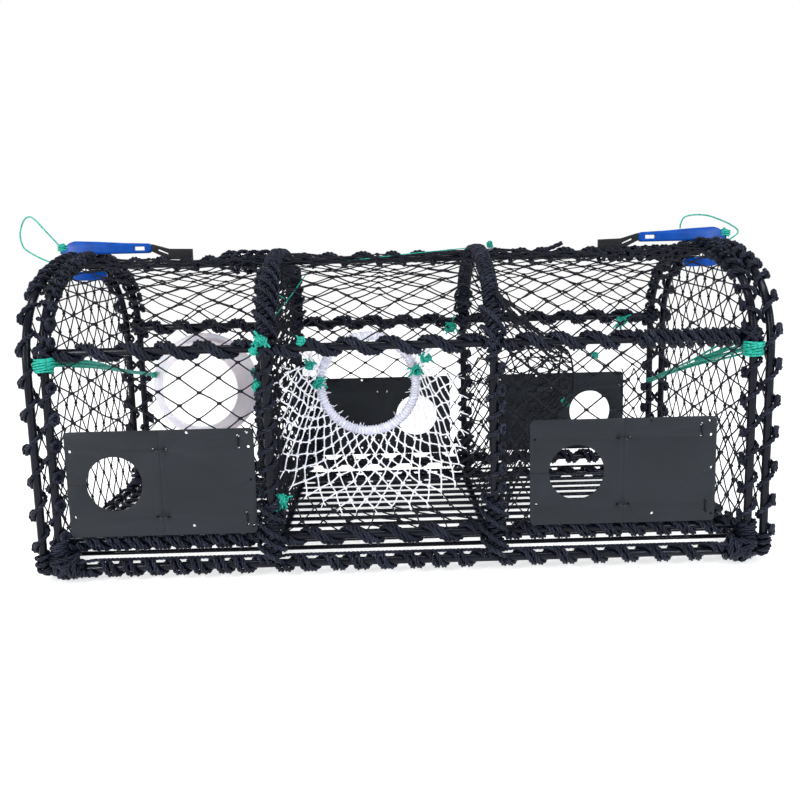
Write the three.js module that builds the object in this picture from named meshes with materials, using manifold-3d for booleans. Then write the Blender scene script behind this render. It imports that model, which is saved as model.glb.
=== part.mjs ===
// A three-bay parlour creel: a rope-lashed steel bar frame with a netted cover, a soft entrance
// funnel in front, a hard entrance eye at the rear, a parlour funnel between two bays, four
// escape plates with hinged flaps, and a hinged door at each end shut by a hook on a rubber strap.
// Millimetres. X runs along the creel, -Y is the front, +Z is up, and Z = 0 is the ground.
import * as THREE from "three";
import { mergeVertices } from "three/addons/utils/BufferGeometryUtils.js";
import Module from "manifold-3d";

const wasm = await Module();
wasm.setup();

// Driving dimensions
const leftBay = 308;
const centreBay = 323;
const rightBay = 369;
const frameWidth = 500;
const barDiameter = 12;
const baseRailHeight = 20;
const lowRailHeight = 56;
const springingHeight = 313;
const midRailRise = 22;
const shoulderRadius = 125;
const crownAngle = THREE.MathUtils.degToRad(25);
const slatDiameter = 6;
const slatMargin = 43.75;
const slatCount = 12;
const ropeDiameter = 8;
const netThickness = 3;
const strandWidth = 5;
const netBorderWidth = 5;
const doorOffsetLength = 24;
const plateMargin = 13;
const plateHeight = 154;
const plateThickness = 3;
const plateBottomHeight = 68;
const escapeDiameter = 80;
const hookThickness = 12;
const twineDiameter = 4;
const clearance = 0.3;

// Places that follow from them
const barRadius = barDiameter / 2;
const barSides = 8;
const midRailHeight = springingHeight + midRailRise;
const halfLength = (leftBay + centreBay + rightBay) / 2;
const halfWidth = frameWidth / 2;
const midLeftX = leftBay - halfLength;
const midRightX = midLeftX + centreBay;
const endHoops = { left_end_hoop: -halfLength, right_end_hoop: halfLength };
const midHoops = { mid_left_hoop: midLeftX, mid_right_hoop: midRightX };
const legFoot = baseRailHeight + barRadius + clearance;
const besideBar = barRadius + clearance;
const railInset = barDiameter + clearance;
const doorX = halfLength + doorOffsetLength;
const sheetOutside = netThickness / 2 + clearance;

// The hoop section, front half: an upright leg, a round shoulder and a low crown
const crownReach = halfWidth - shoulderRadius * (1 - Math.sin(crownAngle));
const crownRadius = crownReach / Math.sin(crownAngle);
const shoulderTop = springingHeight + shoulderRadius * Math.cos(crownAngle);
const crownHeight = shoulderTop + crownRadius * (1 - Math.cos(crownAngle));
const shoulderTurn = Math.PI / 2 - crownAngle;

// A point of the section: side is -1 in front and 1 at the rear, turn is the angle from upright,
// and inset is how far inside the bar's centre line it lies.
function sectionPoint(side, height, turn, inset = 0) {
  const inShoulder = turn <= shoulderTurn;
  const radius = inShoulder ? shoulderRadius : crownRadius;
  const centreY = inShoulder ? halfWidth - shoulderRadius : 0;
  const centreZ = inShoulder ? springingHeight : crownHeight - crownRadius;
  if (turn <= 0) return new THREE.Vector2(side * (halfWidth - inset), height);
  return new THREE.Vector2(
    side * (centreY + (radius - inset) * Math.cos(turn)),
    centreZ + (radius - inset) * Math.sin(turn),
  );
}

// The turn at which the shoulder passes a height, 0 on the leg
function turnAtHeight(height) {
  return height <= springingHeight ? 0 : Math.asin((height - springingHeight) / shoulderRadius);
}

// Stations over the whole section from a foot in front to the same foot at the rear. One lies
// where the mid rail touches the hoop, so that the rail keeps its clearance to the facets.
const shoulderSteps = 4;
const crownSteps = 3;
const midRailTurn = turnAtHeight(midRailHeight);
function sectionStations(foot, inset) {
  const turns = midRailTurn > 0 ? [0] : [];
  for (let i = 0; i <= shoulderSteps; i += 1) {
    turns.push(THREE.MathUtils.lerp(midRailTurn, shoulderTurn, i / shoulderSteps));
  }
  for (let i = 1; i <= crownSteps; i += 1) {
    turns.push(shoulderTurn + ((Math.PI / 2 - shoulderTurn) * i) / crownSteps);
  }
  const front = turns.map((turn) => sectionPoint(-1, springingHeight, turn, inset));
  const rear = front.slice(0, -1).reverse();
  const mirrored = rear.map((point) => new THREE.Vector2(-point.x, point.y));
  const start = new THREE.Vector2(-halfWidth + inset, foot);
  const end = new THREE.Vector2(halfWidth - inset, foot);
  return [start, ...front, ...mirrored, end];
}

// Materials, by what the pieces are made of
function finish(color, roughness, metalness = 0) {
  return new THREE.MeshStandardMaterial({ color, roughness, metalness });
}
const coatedSteel = finish(0x15171c, 0.4, 0.2);
const blackNet = finish(0x101114, 0.8);
const blackRope = finish(0x14161d, 0.7);
const whiteNet = finish(0xe9e8ef, 0.7);
const whitePlastic = finish(0xe4e2ee, 0.45);
const platePlastic = finish(0x35383e, 0.55);
const hookBlue = finish(0x0a4bb5, 0.35);
const rubber = finish(0x121212, 0.65);
const tealTwine = finish(0x12b79a, 0.6);
const tiePlastic = finish(0x1b1c20, 0.5);

const creel = new THREE.Group();
function add(name, geometry, material) {
  const mesh = new THREE.Mesh(geometry, material);
  mesh.name = name;
  creel.add(mesh);
  return mesh;
}

// A solid for joining and cutting, from a closed geometry
function solid(geometry) {
  const bare = geometry.clone();
  bare.deleteAttribute("normal");
  bare.deleteAttribute("uv");
  const merged = mergeVertices(bare, 1e-4);
  return new wasm.Manifold(
    new wasm.Mesh({
      numProp: 3,
      vertProperties: new Float32Array(merged.attributes.position.array),
      triVerts: new Uint32Array(merged.index.array),
    }),
  );
}

function geometryOf(manifold) {
  const mesh = manifold.getMesh();
  const geometry = new THREE.BufferGeometry();
  geometry.setAttribute("position", new THREE.BufferAttribute(new Float32Array(mesh.vertProperties), 3));
  geometry.setIndex(new THREE.BufferAttribute(new Uint32Array(mesh.triVerts), 1));
  geometry.computeVertexNormals();
  return geometry;
}

// The triangles of a face: a fan from its first corner, or from its second where the face has four
// corners and is hollow, so that no triangle folds over another
function trianglesOf(face, points) {
  const at = face.map((id) => points[id]);
  const normal = (a, b, c) => b.clone().sub(a).cross(c.clone().sub(a));
  const hollow = face.length === 4 && normal(at[0], at[1], at[2]).dot(normal(at[0], at[2], at[3])) <= 0;
  const turned = hollow ? [...face.slice(1), face[0]] : face;
  return turned.slice(1, -1).flatMap((id, i) => [turned[0], id, turned[i + 2]]);
}

// A closed geometry from a list of points and the corners of its faces
function faceted(points, faces) {
  const geometry = new THREE.BufferGeometry();
  geometry.setFromPoints(points);
  geometry.setIndex(faces.flatMap((face) => trianglesOf(face, points)));
  geometry.computeVertexNormals();
  return geometry;
}

// A curve that passes through its stations at even steps of its parameter
class StationCurve extends THREE.Curve {
  constructor(stations, closed) {
    super();
    this.stations = closed ? [...stations, stations[0]] : stations;
    this.loop = closed;
  }
  getUtoTmapping(u) {
    return u;
  }
  getPoint(t) {
    const last = this.stations.length - 1;
    const place = this.loop ? ((t % 1) + 1) % 1 : THREE.MathUtils.clamp(t, 0, 1);
    const from = Math.min(Math.floor(place * last + 1e-9), last - 1);
    return this.stations[from].clone().lerp(this.stations[from + 1], place * last - from);
  }
}

function roundSection(radius, sides) {
  const points = [];
  for (let i = 0; i < sides; i += 1) {
    const angle = (2 * Math.PI * i) / sides;
    points.push(new THREE.Vector2(radius * Math.cos(angle), radius * Math.sin(angle)));
  }
  return new THREE.Shape(points);
}

function tube(stations, diameter, sides) {
  return new THREE.ExtrudeGeometry(roundSection(diameter / 2, sides), {
    steps: stations.length - 1,
    extrudePath: new StationCurve(stations, false),
  });
}

function rod(from, to, diameter, sides) {
  const length = from.distanceTo(to);
  const geometry = new THREE.CylinderGeometry(diameter / 2, diameter / 2, length, sides);
  const direction = to.clone().sub(from).normalize();
  const upwards = new THREE.Vector3(0, 1, 0);
  geometry.applyQuaternion(new THREE.Quaternion().setFromUnitVectors(upwards, direction));
  geometry.translate(...from.clone().add(to).multiplyScalar(0.5).toArray());
  return geometry;
}

// Base frame: front and rear rails, a cross bar under each hoop, and the floor slats welded on top
const slatSinkDepth = 1;
const slatSides = 6;
const slatHeight = baseRailHeight + barRadius + slatDiameter / 2 - slatSinkDepth;
const slatTop = slatHeight + slatDiameter / 2;
const slatSpan = frameWidth - 2 * slatMargin;
const slatPitch = slatSpan / (slatCount - 1);
function baseFrame() {
  let frame = null;
  const weld = (geometry) => {
    frame = frame ? frame.add(solid(geometry)) : solid(geometry);
  };
  const railEnd = halfLength + barRadius;
  for (const y of [-halfWidth, halfWidth]) {
    const from = new THREE.Vector3(-railEnd, y, baseRailHeight);
    weld(rod(from, new THREE.Vector3(railEnd, y, baseRailHeight), barDiameter, barSides));
  }
  for (const x of [...Object.values(endHoops), ...Object.values(midHoops)]) {
    const from = new THREE.Vector3(x, -halfWidth, baseRailHeight);
    weld(rod(from, new THREE.Vector3(x, halfWidth, baseRailHeight), barDiameter, barSides));
  }
  for (let i = 0; i < slatCount; i += 1) {
    const y = i * slatPitch - slatSpan / 2;
    const from = new THREE.Vector3(-halfLength, y, slatHeight);
    weld(rod(from, new THREE.Vector3(halfLength, y, slatHeight), slatDiameter, slatSides));
  }
  return geometryOf(frame);
}
add("base_frame", baseFrame(), coatedSteel);

// Hoops: each stands with both legs on the base rails
function hoop(x) {
  const stations = sectionStations(legFoot, 0).map((point) => new THREE.Vector3(x, point.x, point.y));
  return tube(stations, barDiameter, barSides);
}
for (const [name, x] of Object.entries({ ...endHoops, ...midHoops })) add(name, hoop(x), coatedSteel);

// Rails: straight bars laid against the inside of the hoops
function rail(y, z) {
  const end = halfLength + barRadius;
  return rod(new THREE.Vector3(-end, y, z), new THREE.Vector3(end, y, z), barDiameter, barSides);
}
const ridgeRailHeight = crownHeight - railInset;
add("ridge_rail", rail(0, ridgeRailHeight), coatedSteel);
for (const [place, side] of Object.entries({ front: -1, rear: 1 })) {
  const mid = sectionPoint(side, midRailHeight, midRailTurn, railInset);
  add(`${place}_mid_rail`, rail(mid.x, mid.y), coatedSteel);
  add(`${place}_low_rail`, rail(side * (halfWidth - railInset), lowRailHeight), coatedSteel);
}

// Netting. A sheet is a grid of cells, each with a knot in its middle and at its corners, so that
// the gaps between the strands are diamonds. place(u, v) gives the point of the sheet at a cell
// corner or between, and the sheet closes on itself along u when it goes round a funnel.
function netting({ across, along, place, round = false, strand = strandWidth, border = netBorderWidth }) {
  const points = [];
  const known = new Map();
  const faces = [];
  const around = (i) => (round ? ((i % across) + across) % across : i);
  const normalAt = (u, v) => {
    const step = 1e-3;
    const alongU = place(u + step, v).sub(place(u - step, v));
    const alongV = place(u, v + step).sub(place(u, v - step));
    return alongU.cross(alongV).normalize();
  };
  const sizeAt = (u, v) => {
    const step = 1e-3;
    return [
      place(u + step, v).distanceTo(place(u - step, v)) / (2 * step),
      place(u, v + step).distanceTo(place(u, v - step)) / (2 * step),
    ];
  };
  // How much of its cell a gap takes up: the rest is the strands' width
  const shrink = (u, v) => {
    const [width, height] = sizeAt(u, v);
    return 1 - strand * Math.hypot(1 / width, 1 / height);
  };
  const vertex = (u, v) => {
    const turned = round ? ((u % across) + across) % across : u;
    const key = `${turned.toFixed(4)},${v.toFixed(4)}`;
    if (!known.has(key)) {
      const at = place(turned, v);
      const lift = normalAt(turned, v).multiplyScalar(netThickness / 2);
      known.set(key, points.length);
      points.push(at.clone().add(lift), at.clone().sub(lift));
    }
    return known.get(key);
  };
  const present = (i, j) => j >= 0 && j < along && (round || (i >= 0 && i < across));
  // The two corners of a gap on a cell's side, set in from it where no cell lies beyond
  const lowSide = (i, j, beyond) => {
    const fill = shrink(i + 0.5, j);
    const inset = beyond ? 0 : border / sizeAt(i + 0.5, j)[1];
    const reach = (fill - 2 * inset) / 2;
    return [reach, inset];
  };
  const leftSide = (i, j, beyond) => {
    const fill = shrink(i, j + 0.5);
    const inset = beyond ? 0 : border / sizeAt(i, j + 0.5)[0];
    const reach = (fill - 2 * inset) / 2;
    return [reach, inset];
  };
  const outline = new Map();
  const sheetFace = (corners) => {
    const ids = corners.map(([u, v]) => vertex(u, v));
    faces.push(ids);
    faces.push(ids.map((id) => id + 1).reverse());
    ids.forEach((id, k) => {
      const next = ids[(k + 1) % ids.length];
      const back = `${next},${id}`;
      if (outline.has(back)) outline.delete(back);
      else outline.set(`${id},${next}`, [id, next]);
    });
  };
  for (let i = 0; i < across; i += 1) {
    for (let j = 0; j < along; j += 1) {
      const [southReach, southInset] = lowSide(i, j, present(i, j - 1));
      const [northReach, northInset] = lowSide(i, j + 1, present(i, j + 1));
      const [westReach, westInset] = leftSide(i, j, present(i - 1, j));
      const [eastReach, eastInset] = leftSide(around(i + 1), j, present(i + 1, j));
      const middleU = i + 0.5;
      const middleV = j + 0.5;
      const tipSouth = shrink(middleU, j) / 2;
      const tipNorth = shrink(middleU, j + 1) / 2;
      const tipWest = shrink(i, middleV) / 2;
      const tipEast = shrink(around(i + 1), middleV) / 2;
      const knot = { s: [middleU, j + tipSouth], n: [middleU, j + 1 - tipNorth] };
      knot.w = [i + tipWest, middleV];
      knot.e = [i + 1 - tipEast, middleV];
      const south = [[middleU - southReach, j + southInset], [middleU + southReach, j + southInset]];
      const northV = j + 1 - northInset;
      const north = [[middleU - northReach, northV], [middleU + northReach, northV]];
      const west = [[i + westInset, middleV - westReach], [i + westInset, middleV + westReach]];
      const east = [[i + 1 - eastInset, middleV - eastReach], [i + 1 - eastInset, middleV + eastReach]];
      const corner = { sw: [i, j], se: [i + 1, j], ne: [i + 1, j + 1], nw: [i, j + 1] };
      sheetFace([knot.s, knot.e, knot.n, knot.w]);
      sheetFace([south[0], knot.s, knot.w, west[0]]);
      sheetFace([knot.s, south[1], east[0], knot.e]);
      sheetFace([knot.e, east[1], north[1], knot.n]);
      sheetFace([knot.w, knot.n, north[0], west[1]]);
      sheetFace([corner.sw, south[0], west[0]]);
      sheetFace([corner.se, east[0], south[1]]);
      sheetFace([corner.ne, north[1], east[1]]);
      sheetFace([corner.nw, west[1], north[0]]);
      if (southInset) sheetFace([corner.sw, corner.se, south[1], south[0]]);
      if (northInset) sheetFace([corner.ne, corner.nw, north[0], north[1]]);
      if (westInset) sheetFace([corner.nw, corner.sw, west[0], west[1]]);
      if (eastInset) sheetFace([corner.se, corner.ne, east[1], east[0]]);
    }
  }
  for (const [from, to] of outline.values()) faces.push([to, from, from + 1, to + 1]);
  return faceted(points, faces);
}

// Cover nets: one panel a bay between two hoops, from a start to an end height on one side
function coverNet(fromX, toX, side, across, along, sectionAt) {
  const left = fromX + besideBar;
  const right = toX - besideBar;
  return netting({
    across,
    along,
    place: (u, v) => {
      const x = left + ((right - left) * u) / across;
      const [y, z] = sectionAt(side, v / along);
      return new THREE.Vector3(x, y, z);
    },
  });
}
const bays = {
  left: [-halfLength, midLeftX],
  centre: [midLeftX, midRightX],
  right: [midRightX, halfLength],
};
const netOverlapHeight = 8;
const plateTop = plateBottomHeight + plateHeight;
const seamGap = clearance * 2;
const sideNetTop = midRailHeight - seamGap / 2;
const ridgeGap = 18;
const upperStart = turnAtHeight(midRailHeight + seamGap / 2);
const upperEnd = Math.PI / 2 - Math.asin(ridgeGap / 2 / crownRadius);
const sideAcross = 3;
const sideAlong = 1;
const topAcross = 3;
const topAlong = 2;
const sideSection = (side, share) => {
  const height = THREE.MathUtils.lerp(plateTop - netOverlapHeight, sideNetTop, share);
  const point = sectionPoint(side, height, turnAtHeight(height));
  return [point.x, point.y];
};
const shoulderRun = shoulderRadius * (shoulderTurn - upperStart);
const crownRun = crownRadius * (upperEnd - shoulderTurn);
const topSection = (side, share) => {
  const run = share * (shoulderRun + crownRun);
  const turn = run < shoulderRun
    ? upperStart + run / shoulderRadius
    : shoulderTurn + (run - shoulderRun) / crownRadius;
  const point = sectionPoint(side, springingHeight, turn);
  return [point.x, point.y];
};
for (const [bay, [from, to]] of Object.entries(bays)) {
  for (const [place, side] of Object.entries({ front: -1, rear: 1 })) {
    add(`${bay}_${place}_top_net`, coverNet(from, to, side, topAcross, topAlong, topSection), blackNet);
  }
}
const platedPanels = { left_front: -1, right_front: -1, centre_rear: 1, right_rear: 1 };
for (const [panel, side] of Object.entries(platedPanels)) {
  const [from, to] = bays[panel.split("_")[0]];
  add(`${panel}_net`, coverNet(from, to, side, sideAcross, sideAlong, sideSection), blackNet);
}

// The rectangle of bars that a net starts from, by a share of a turn from the top. Each eighth ends
// straight above, beside or below the centre, or on a corner, so that no cell bridges a corner.
const loopParts = 8;
function rectangleLoop(centreX, centreZ, { left, right, low, high }, share) {
  const turn = 2 * Math.PI;
  const corners = [
    Math.atan2(right - centreX, high - centreZ),
    Math.atan2(right - centreX, low - centreZ),
    Math.atan2(left - centreX, low - centreZ) + turn,
    Math.atan2(left - centreX, high - centreZ) + turn,
  ];
  const stops = corners.flatMap((corner, side) => [(side * turn) / corners.length, corner]).concat(turn);
  const place = (((share % 1) + 1) % 1) * loopParts;
  const part = Math.floor(place);
  const angle = THREE.MathUtils.lerp(stops[part], stops[part + 1], place - part);
  const goX = Math.sin(angle);
  const goZ = Math.cos(angle);
  const reachX = goX >= 0 ? right - centreX : centreX - left;
  const reachZ = goZ >= 0 ? high - centreZ : centreZ - low;
  const stretch = Math.min(reachX / Math.max(Math.abs(goX), 1e-9), reachZ / Math.max(Math.abs(goZ), 1e-9));
  return [centreX + goX * stretch, centreZ + goZ * stretch];
}

// Entrance ring and the white funnel that holds it, in the front of the centre bay
const ringDiameter = 160;
const ringThickness = 12;
const ringDepth = 120;
const ringHeight = 264;
const ringShift = 19;
const ringX = (midLeftX + midRightX) / 2 - ringShift;
const ringY = ringDepth - halfWidth;
const entranceAcross = 8;
const entranceAlong = 2;
const ringSides = 6;
const ringSteps = 20;
const whiteStrandWidth = 4;
function ring(diameter, thickness, tubeSides, steps) {
  return new THREE.TorusGeometry((diameter - thickness) / 2, thickness / 2, tubeSides, steps);
}
function entranceRing() {
  const geometry = ring(ringDiameter, ringThickness, ringSides, ringSteps);
  geometry.rotateX(Math.PI / 2);
  geometry.translate(ringX, ringY, ringHeight);
  return geometry;
}
add("entrance_ring", entranceRing(), whitePlastic);
function entranceFunnel() {
  const bars = {
    left: midLeftX + barRadius + sheetOutside,
    right: midRightX - barRadius - sheetOutside,
    low: lowRailHeight,
    high: midRailHeight,
  };
  const midRail = sectionPoint(-1, midRailHeight, midRailTurn, railInset);
  const laceY = midRail.x + barRadius + clearance;
  const ringSeat = ringDiameter / 2 + clearance + netThickness / 2;
  const ringReach = ringSeat / Math.cos(Math.PI / entranceAcross);
  const settle = 0.25;
  return netting({
    across: entranceAcross,
    along: entranceAlong,
    round: true,
    strand: whiteStrandWidth,
    place: (u, v) => {
      const share = u / entranceAcross;
      const [outX, outZ] = rectangleLoop(ringX, ringHeight, bars, share);
      const inX = ringX + ringReach * Math.sin(2 * Math.PI * share);
      const inZ = ringHeight + ringReach * Math.cos(2 * Math.PI * share);
      const way = v / entranceAlong;
      const drawIn = way + settle * way * (1 - way);
      return new THREE.Vector3(
        THREE.MathUtils.lerp(outX, inX, drawIn),
        THREE.MathUtils.lerp(laceY, ringY, way),
        THREE.MathUtils.lerp(outZ, inZ, drawIn),
      );
    },
  });
}
add("entrance_funnel_net", entranceFunnel(), whiteNet);

// Hard eye: a tapered plastic ring let into the rear net of the left bay
const eyeDiameter = 206;
const eyeMouthDiameter = 140;
const eyeDepth = 62;
const eyeWallThickness = 3;
const eyeFlangeWidth = 9;
const eyeShiftLength = 30;
const eyeHeight = 216;
const eyeSteps = 24;
const eyeX = (-halfLength + midLeftX) / 2 - eyeShiftLength;
const eyeBack = halfWidth - sheetOutside;
function hardEye() {
  const rim = eyeDiameter / 2;
  const throat = rim - eyeFlangeWidth;
  const mouth = eyeMouthDiameter / 2;
  const profile = [
    [throat - eyeWallThickness, 0],
    [rim, 0],
    [rim, -eyeWallThickness],
    [throat, -eyeWallThickness],
    [mouth + eyeWallThickness, -eyeDepth],
    [mouth, -eyeDepth],
    [throat - eyeWallThickness, 0],
  ].map(([radius, depth]) => new THREE.Vector2(radius, depth));
  const geometry = new THREE.LatheGeometry(profile.reverse(), eyeSteps);
  geometry.translate(eyeX, eyeBack, eyeHeight);
  return geometry;
}
add("hard_eye", hardEye(), whitePlastic);

// A flat net lies in x and y: a sheet with diamonds cut from it inside its border. One diamond is
// centred on a given point, and an opening has a border of its own.
const smallestGapWidth = 22;
function section(polygons) {
  return new wasm.CrossSection(polygons.map((polygon) => polygon.map((p) => [p.x, p.y])));
}
function flatNet({ outline, opening, meshWidth, meshHeight, centre, size }) {
  const shrink = 1 - strandWidth * Math.hypot(1 / meshWidth, 1 / meshHeight);
  const columns = Math.ceil(size / meshWidth);
  const rows = Math.ceil((2 * size) / meshHeight);
  const diamonds = [];
  for (let row = -rows; row <= rows; row += 1) {
    for (let column = -columns; column <= columns; column += 1) {
      const middle = new THREE.Vector2(column + (row % 2 ? 0.5 : 0), row / 2);
      middle.set(centre.x + middle.x * meshWidth, centre.y + middle.y * meshHeight);
      const sides = [[-0.5, 0], [0, -0.5], [0.5, 0], [0, 0.5]];
      diamonds.push(sides.map(([across, up]) => {
        const corner = new THREE.Vector2(across * meshWidth, up * meshHeight);
        return corner.multiplyScalar(shrink).add(middle);
      }));
    }
  }
  let sheet = section([outline]);
  let gaps = section(diamonds).intersect(sheet.offset(-netBorderWidth, "Miter"));
  if (opening) {
    sheet = sheet.subtract(section([opening]));
    gaps = gaps.subtract(section([opening]).offset(netBorderWidth, "Miter"));
  }
  for (const gap of gaps.decompose()) {
    if (gap.area() > smallestGapWidth ** 2) sheet = sheet.subtract(gap);
  }
  return geometryOf(sheet.extrude(netThickness));
}
const eyeMeshWidth = 92;
const eyeMeshHeight = 84;
function eyeNet() {
  const left = -halfLength + besideBar;
  const right = midLeftX - besideBar;
  const low = lowRailHeight + barRadius + sheetOutside;
  const corners = [[left, low], [right, low], [right, sideNetTop], [left, sideNetTop]];
  const centre = new THREE.Vector2(eyeX, eyeHeight);
  const reach = eyeDiameter / 2 - eyeFlangeWidth + eyeWallThickness;
  const geometry = flatNet({
    outline: corners.map(([x, z]) => new THREE.Vector2(x, z)),
    opening: roundSection(reach, eyeSteps).getPoints().map((p) => p.add(centre)),
    meshWidth: eyeMeshWidth,
    meshHeight: eyeMeshHeight,
    centre,
    size: leftBay,
  });
  return geometry.rotateX(Math.PI / 2).translate(0, halfWidth + netThickness / 2, 0);
}
add("left_rear_net", eyeNet(), blackNet);

// A net drawn from the inside of a mid hoop to a small oval mouth further along the creel. It is
// laced to the rails, and lies a little further in the more upright its edge leaves them.
const floorEdge = slatTop + sheetOutside;
function innerLoop(share, lean) {
  const innerInset = railInset + besideBar + lean;
  const centreZ = springingHeight;
  const angle = 2 * Math.PI * share;
  const goY = Math.sin(angle);
  const goZ = Math.cos(angle);
  const side = halfWidth - innerInset;
  if (goZ <= 0) {
    const toSide = side / Math.max(Math.abs(goY), 1e-9);
    const stretch = Math.min(toSide, (centreZ - floorEdge) / Math.max(-goZ, 1e-9));
    return [goY * stretch, centreZ + goZ * stretch];
  }
  // Above the springing the loop follows the hoop: step along the ray until it meets the section
  let near = 0;
  let far = halfWidth;
  for (let i = 0; i < 40; i += 1) {
    const reach = (near + far) / 2;
    const y = Math.abs(goY * reach);
    const z = goZ * reach;
    const shoulderY = y - (halfWidth - shoulderRadius);
    const overCrown = Math.hypot(y, centreZ + z - (crownHeight - crownRadius)) > crownRadius - innerInset;
    const overShoulder = shoulderY > 0 && Math.hypot(shoulderY, z) > shoulderRadius - innerInset;
    if (overCrown || overShoulder) far = reach;
    else near = reach;
  }
  return [goY * near, centreZ + goZ * near];
}
function innerFunnel({ hoopX, reach, mouthHeight, mouthWide, mouthTall, across, along, drawn, lean }) {
  return netting({
    across,
    along,
    round: true,
    place: (u, v) => {
      const share = u / across;
      const [outY, outZ] = innerLoop(share, lean);
      const inY = (mouthWide / 2) * Math.sin(2 * Math.PI * share);
      const inZ = mouthHeight + (mouthTall / 2) * Math.cos(2 * Math.PI * share);
      const way = v / along;
      const drawIn = way + drawn * way * (1 - way);
      return new THREE.Vector3(
        hoopX + reach * way,
        THREE.MathUtils.lerp(outY, inY, drawIn),
        THREE.MathUtils.lerp(outZ, inZ, drawIn),
      );
    },
  });
}
const parlourLength = 153;
const partitionLength = 40;
const parlourMouth = { mouthHeight: 250, mouthWide: 120, mouthTall: 90 };
const partitionMouth = { mouthHeight: 220, mouthWide: 130, mouthTall: 110 };
const parlour = { hoopX: midRightX, reach: parlourLength, across: 8, along: 2, drawn: 0.35, lean: 0.95 };
add("parlour_funnel_net", innerFunnel({ ...parlour, ...parlourMouth }), blackNet);
const partition = { hoopX: midLeftX, reach: -partitionLength, across: 8, along: 1, drawn: 0, lean: 0.4 };
add("left_partition_net", innerFunnel({ ...partition, ...partitionMouth }), blackNet);

// Escape plates: a fixed half laced to the net and a flap with the escape hole, joined at an
// upright seam by two small ring ties that act as the hinge
const seamWidth = 2;
const plateCornerRadius = 7;
const tieInset = 28;
const tieRadius = 8.5;
const tieWireDiameter = 2.5;
const tieHoleDiameter = 6;
const laceHoleDiameter = 4;
const laceInset = 10;
const slitWidth = 2;
const plateLength = leftBay - barDiameter - 2 * plateMargin;
const halfPlate = (plateLength - seamWidth) / 2;
const plateFace = halfWidth + sheetOutside + plateThickness;
const holeSides = 6;
const escapeSteps = 20;
const cornerSegments = 2;
const tieSides = 4;
const tieSteps = 8;
function holePath(x, z, diameter, sides) {
  const path = new THREE.Path();
  const centre = new THREE.Vector2(x, z);
  path.setFromPoints(roundSection(diameter / 2, sides).getPoints().map((p) => p.clone().add(centre)));
  return path;
}

// The outline is drawn with the seam at x = 0 and the plate running to +x, and z from its bottom
function plateOutline() {
  const shape = new THREE.Shape();
  const inner = seamWidth / 2;
  const outer = inner + halfPlate;
  shape.moveTo(inner, 0);
  shape.lineTo(outer - plateCornerRadius, 0);
  shape.quadraticCurveTo(outer, 0, outer, plateCornerRadius);
  return { shape, inner, outer };
}
function tieHoles(shape) {
  for (const z of [tieInset, plateHeight - tieInset]) {
    shape.holes.push(holePath(tieRadius, z, tieHoleDiameter, holeSides));
  }
}
function fixedPlate() {
  const { shape, inner, outer } = plateOutline();
  shape.lineTo(outer, plateHeight - plateCornerRadius);
  shape.quadraticCurveTo(outer, plateHeight, outer - plateCornerRadius, plateHeight);
  shape.lineTo(inner, plateHeight);
  tieHoles(shape);
  for (const z of [laceInset, plateHeight - laceInset]) {
    shape.holes.push(holePath(outer - laceInset, z, laceHoleDiameter, holeSides));
  }
  return shape;
}
function flapPlate() {
  const { shape, inner, outer } = plateOutline();
  const centreX = inner + halfPlate / 2;
  const centreZ = plateHeight / 2;
  const slitAngle = Math.asin(slitWidth / escapeDiameter);
  shape.lineTo(outer, centreZ - slitWidth / 2);
  shape.lineTo(centreX + (escapeDiameter / 2) * Math.cos(slitAngle), centreZ - slitWidth / 2);
  for (let i = 1; i <= escapeSteps; i += 1) {
    const angle = -slitAngle - ((2 * Math.PI - 2 * slitAngle) * i) / escapeSteps;
    const x = centreX + (escapeDiameter / 2) * Math.cos(angle);
    shape.lineTo(x, centreZ + (escapeDiameter / 2) * Math.sin(angle));
  }
  shape.lineTo(outer, centreZ + slitWidth / 2);
  shape.lineTo(outer, plateHeight - plateCornerRadius);
  shape.quadraticCurveTo(outer, plateHeight, outer - plateCornerRadius, plateHeight);
  shape.lineTo(inner, plateHeight);
  tieHoles(shape);
  shape.holes.push(holePath(outer - laceInset, plateHeight - laceInset * 2, laceHoleDiameter, holeSides));
  return shape;
}

// The outer face of a standing plate lies at y = 0 before it is moved to its wall
function standingPlate(shape) {
  const geometry = new THREE.ExtrudeGeometry(shape, {
    depth: plateThickness,
    bevelEnabled: false,
    curveSegments: cornerSegments,
  });
  geometry.rotateX(Math.PI / 2);
  geometry.translate(0, plateThickness, 0);
  return geometry;
}
const plates = {
  front_left: [bays.left, -1],
  front_right: [bays.right, -1],
  rear_centre: [bays.centre, 1],
  rear_right: [bays.right, 1],
};
for (const [name, [[from, to], side]] of Object.entries(plates)) {
  const seamX = (from + to) / 2;
  const turn = side < 0 ? 0 : Math.PI;
  const stand = (geometry, flip) => {
    if (flip) geometry.rotateZ(Math.PI).translate(0, plateThickness, 0);
    return geometry.rotateZ(turn).translate(seamX, side * plateFace, plateBottomHeight);
  };
  add(`${name}_plate`, stand(standingPlate(fixedPlate()), false), platePlastic);
  add(`${name}_flap`, stand(standingPlate(flapPlate()), true), platePlastic);
  for (const [level, z] of Object.entries({ lower: tieInset, upper: plateHeight - tieInset })) {
    const tie = ring(tieRadius * 2 + tieWireDiameter, tieWireDiameter, tieSides, tieSteps);
    tie.rotateZ(Math.PI / tieSteps).translate(seamX, side * plateFace, plateBottomHeight + z);
    add(`${name}_${level}_tie`, tie, tiePlastic);
  }
}

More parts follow.
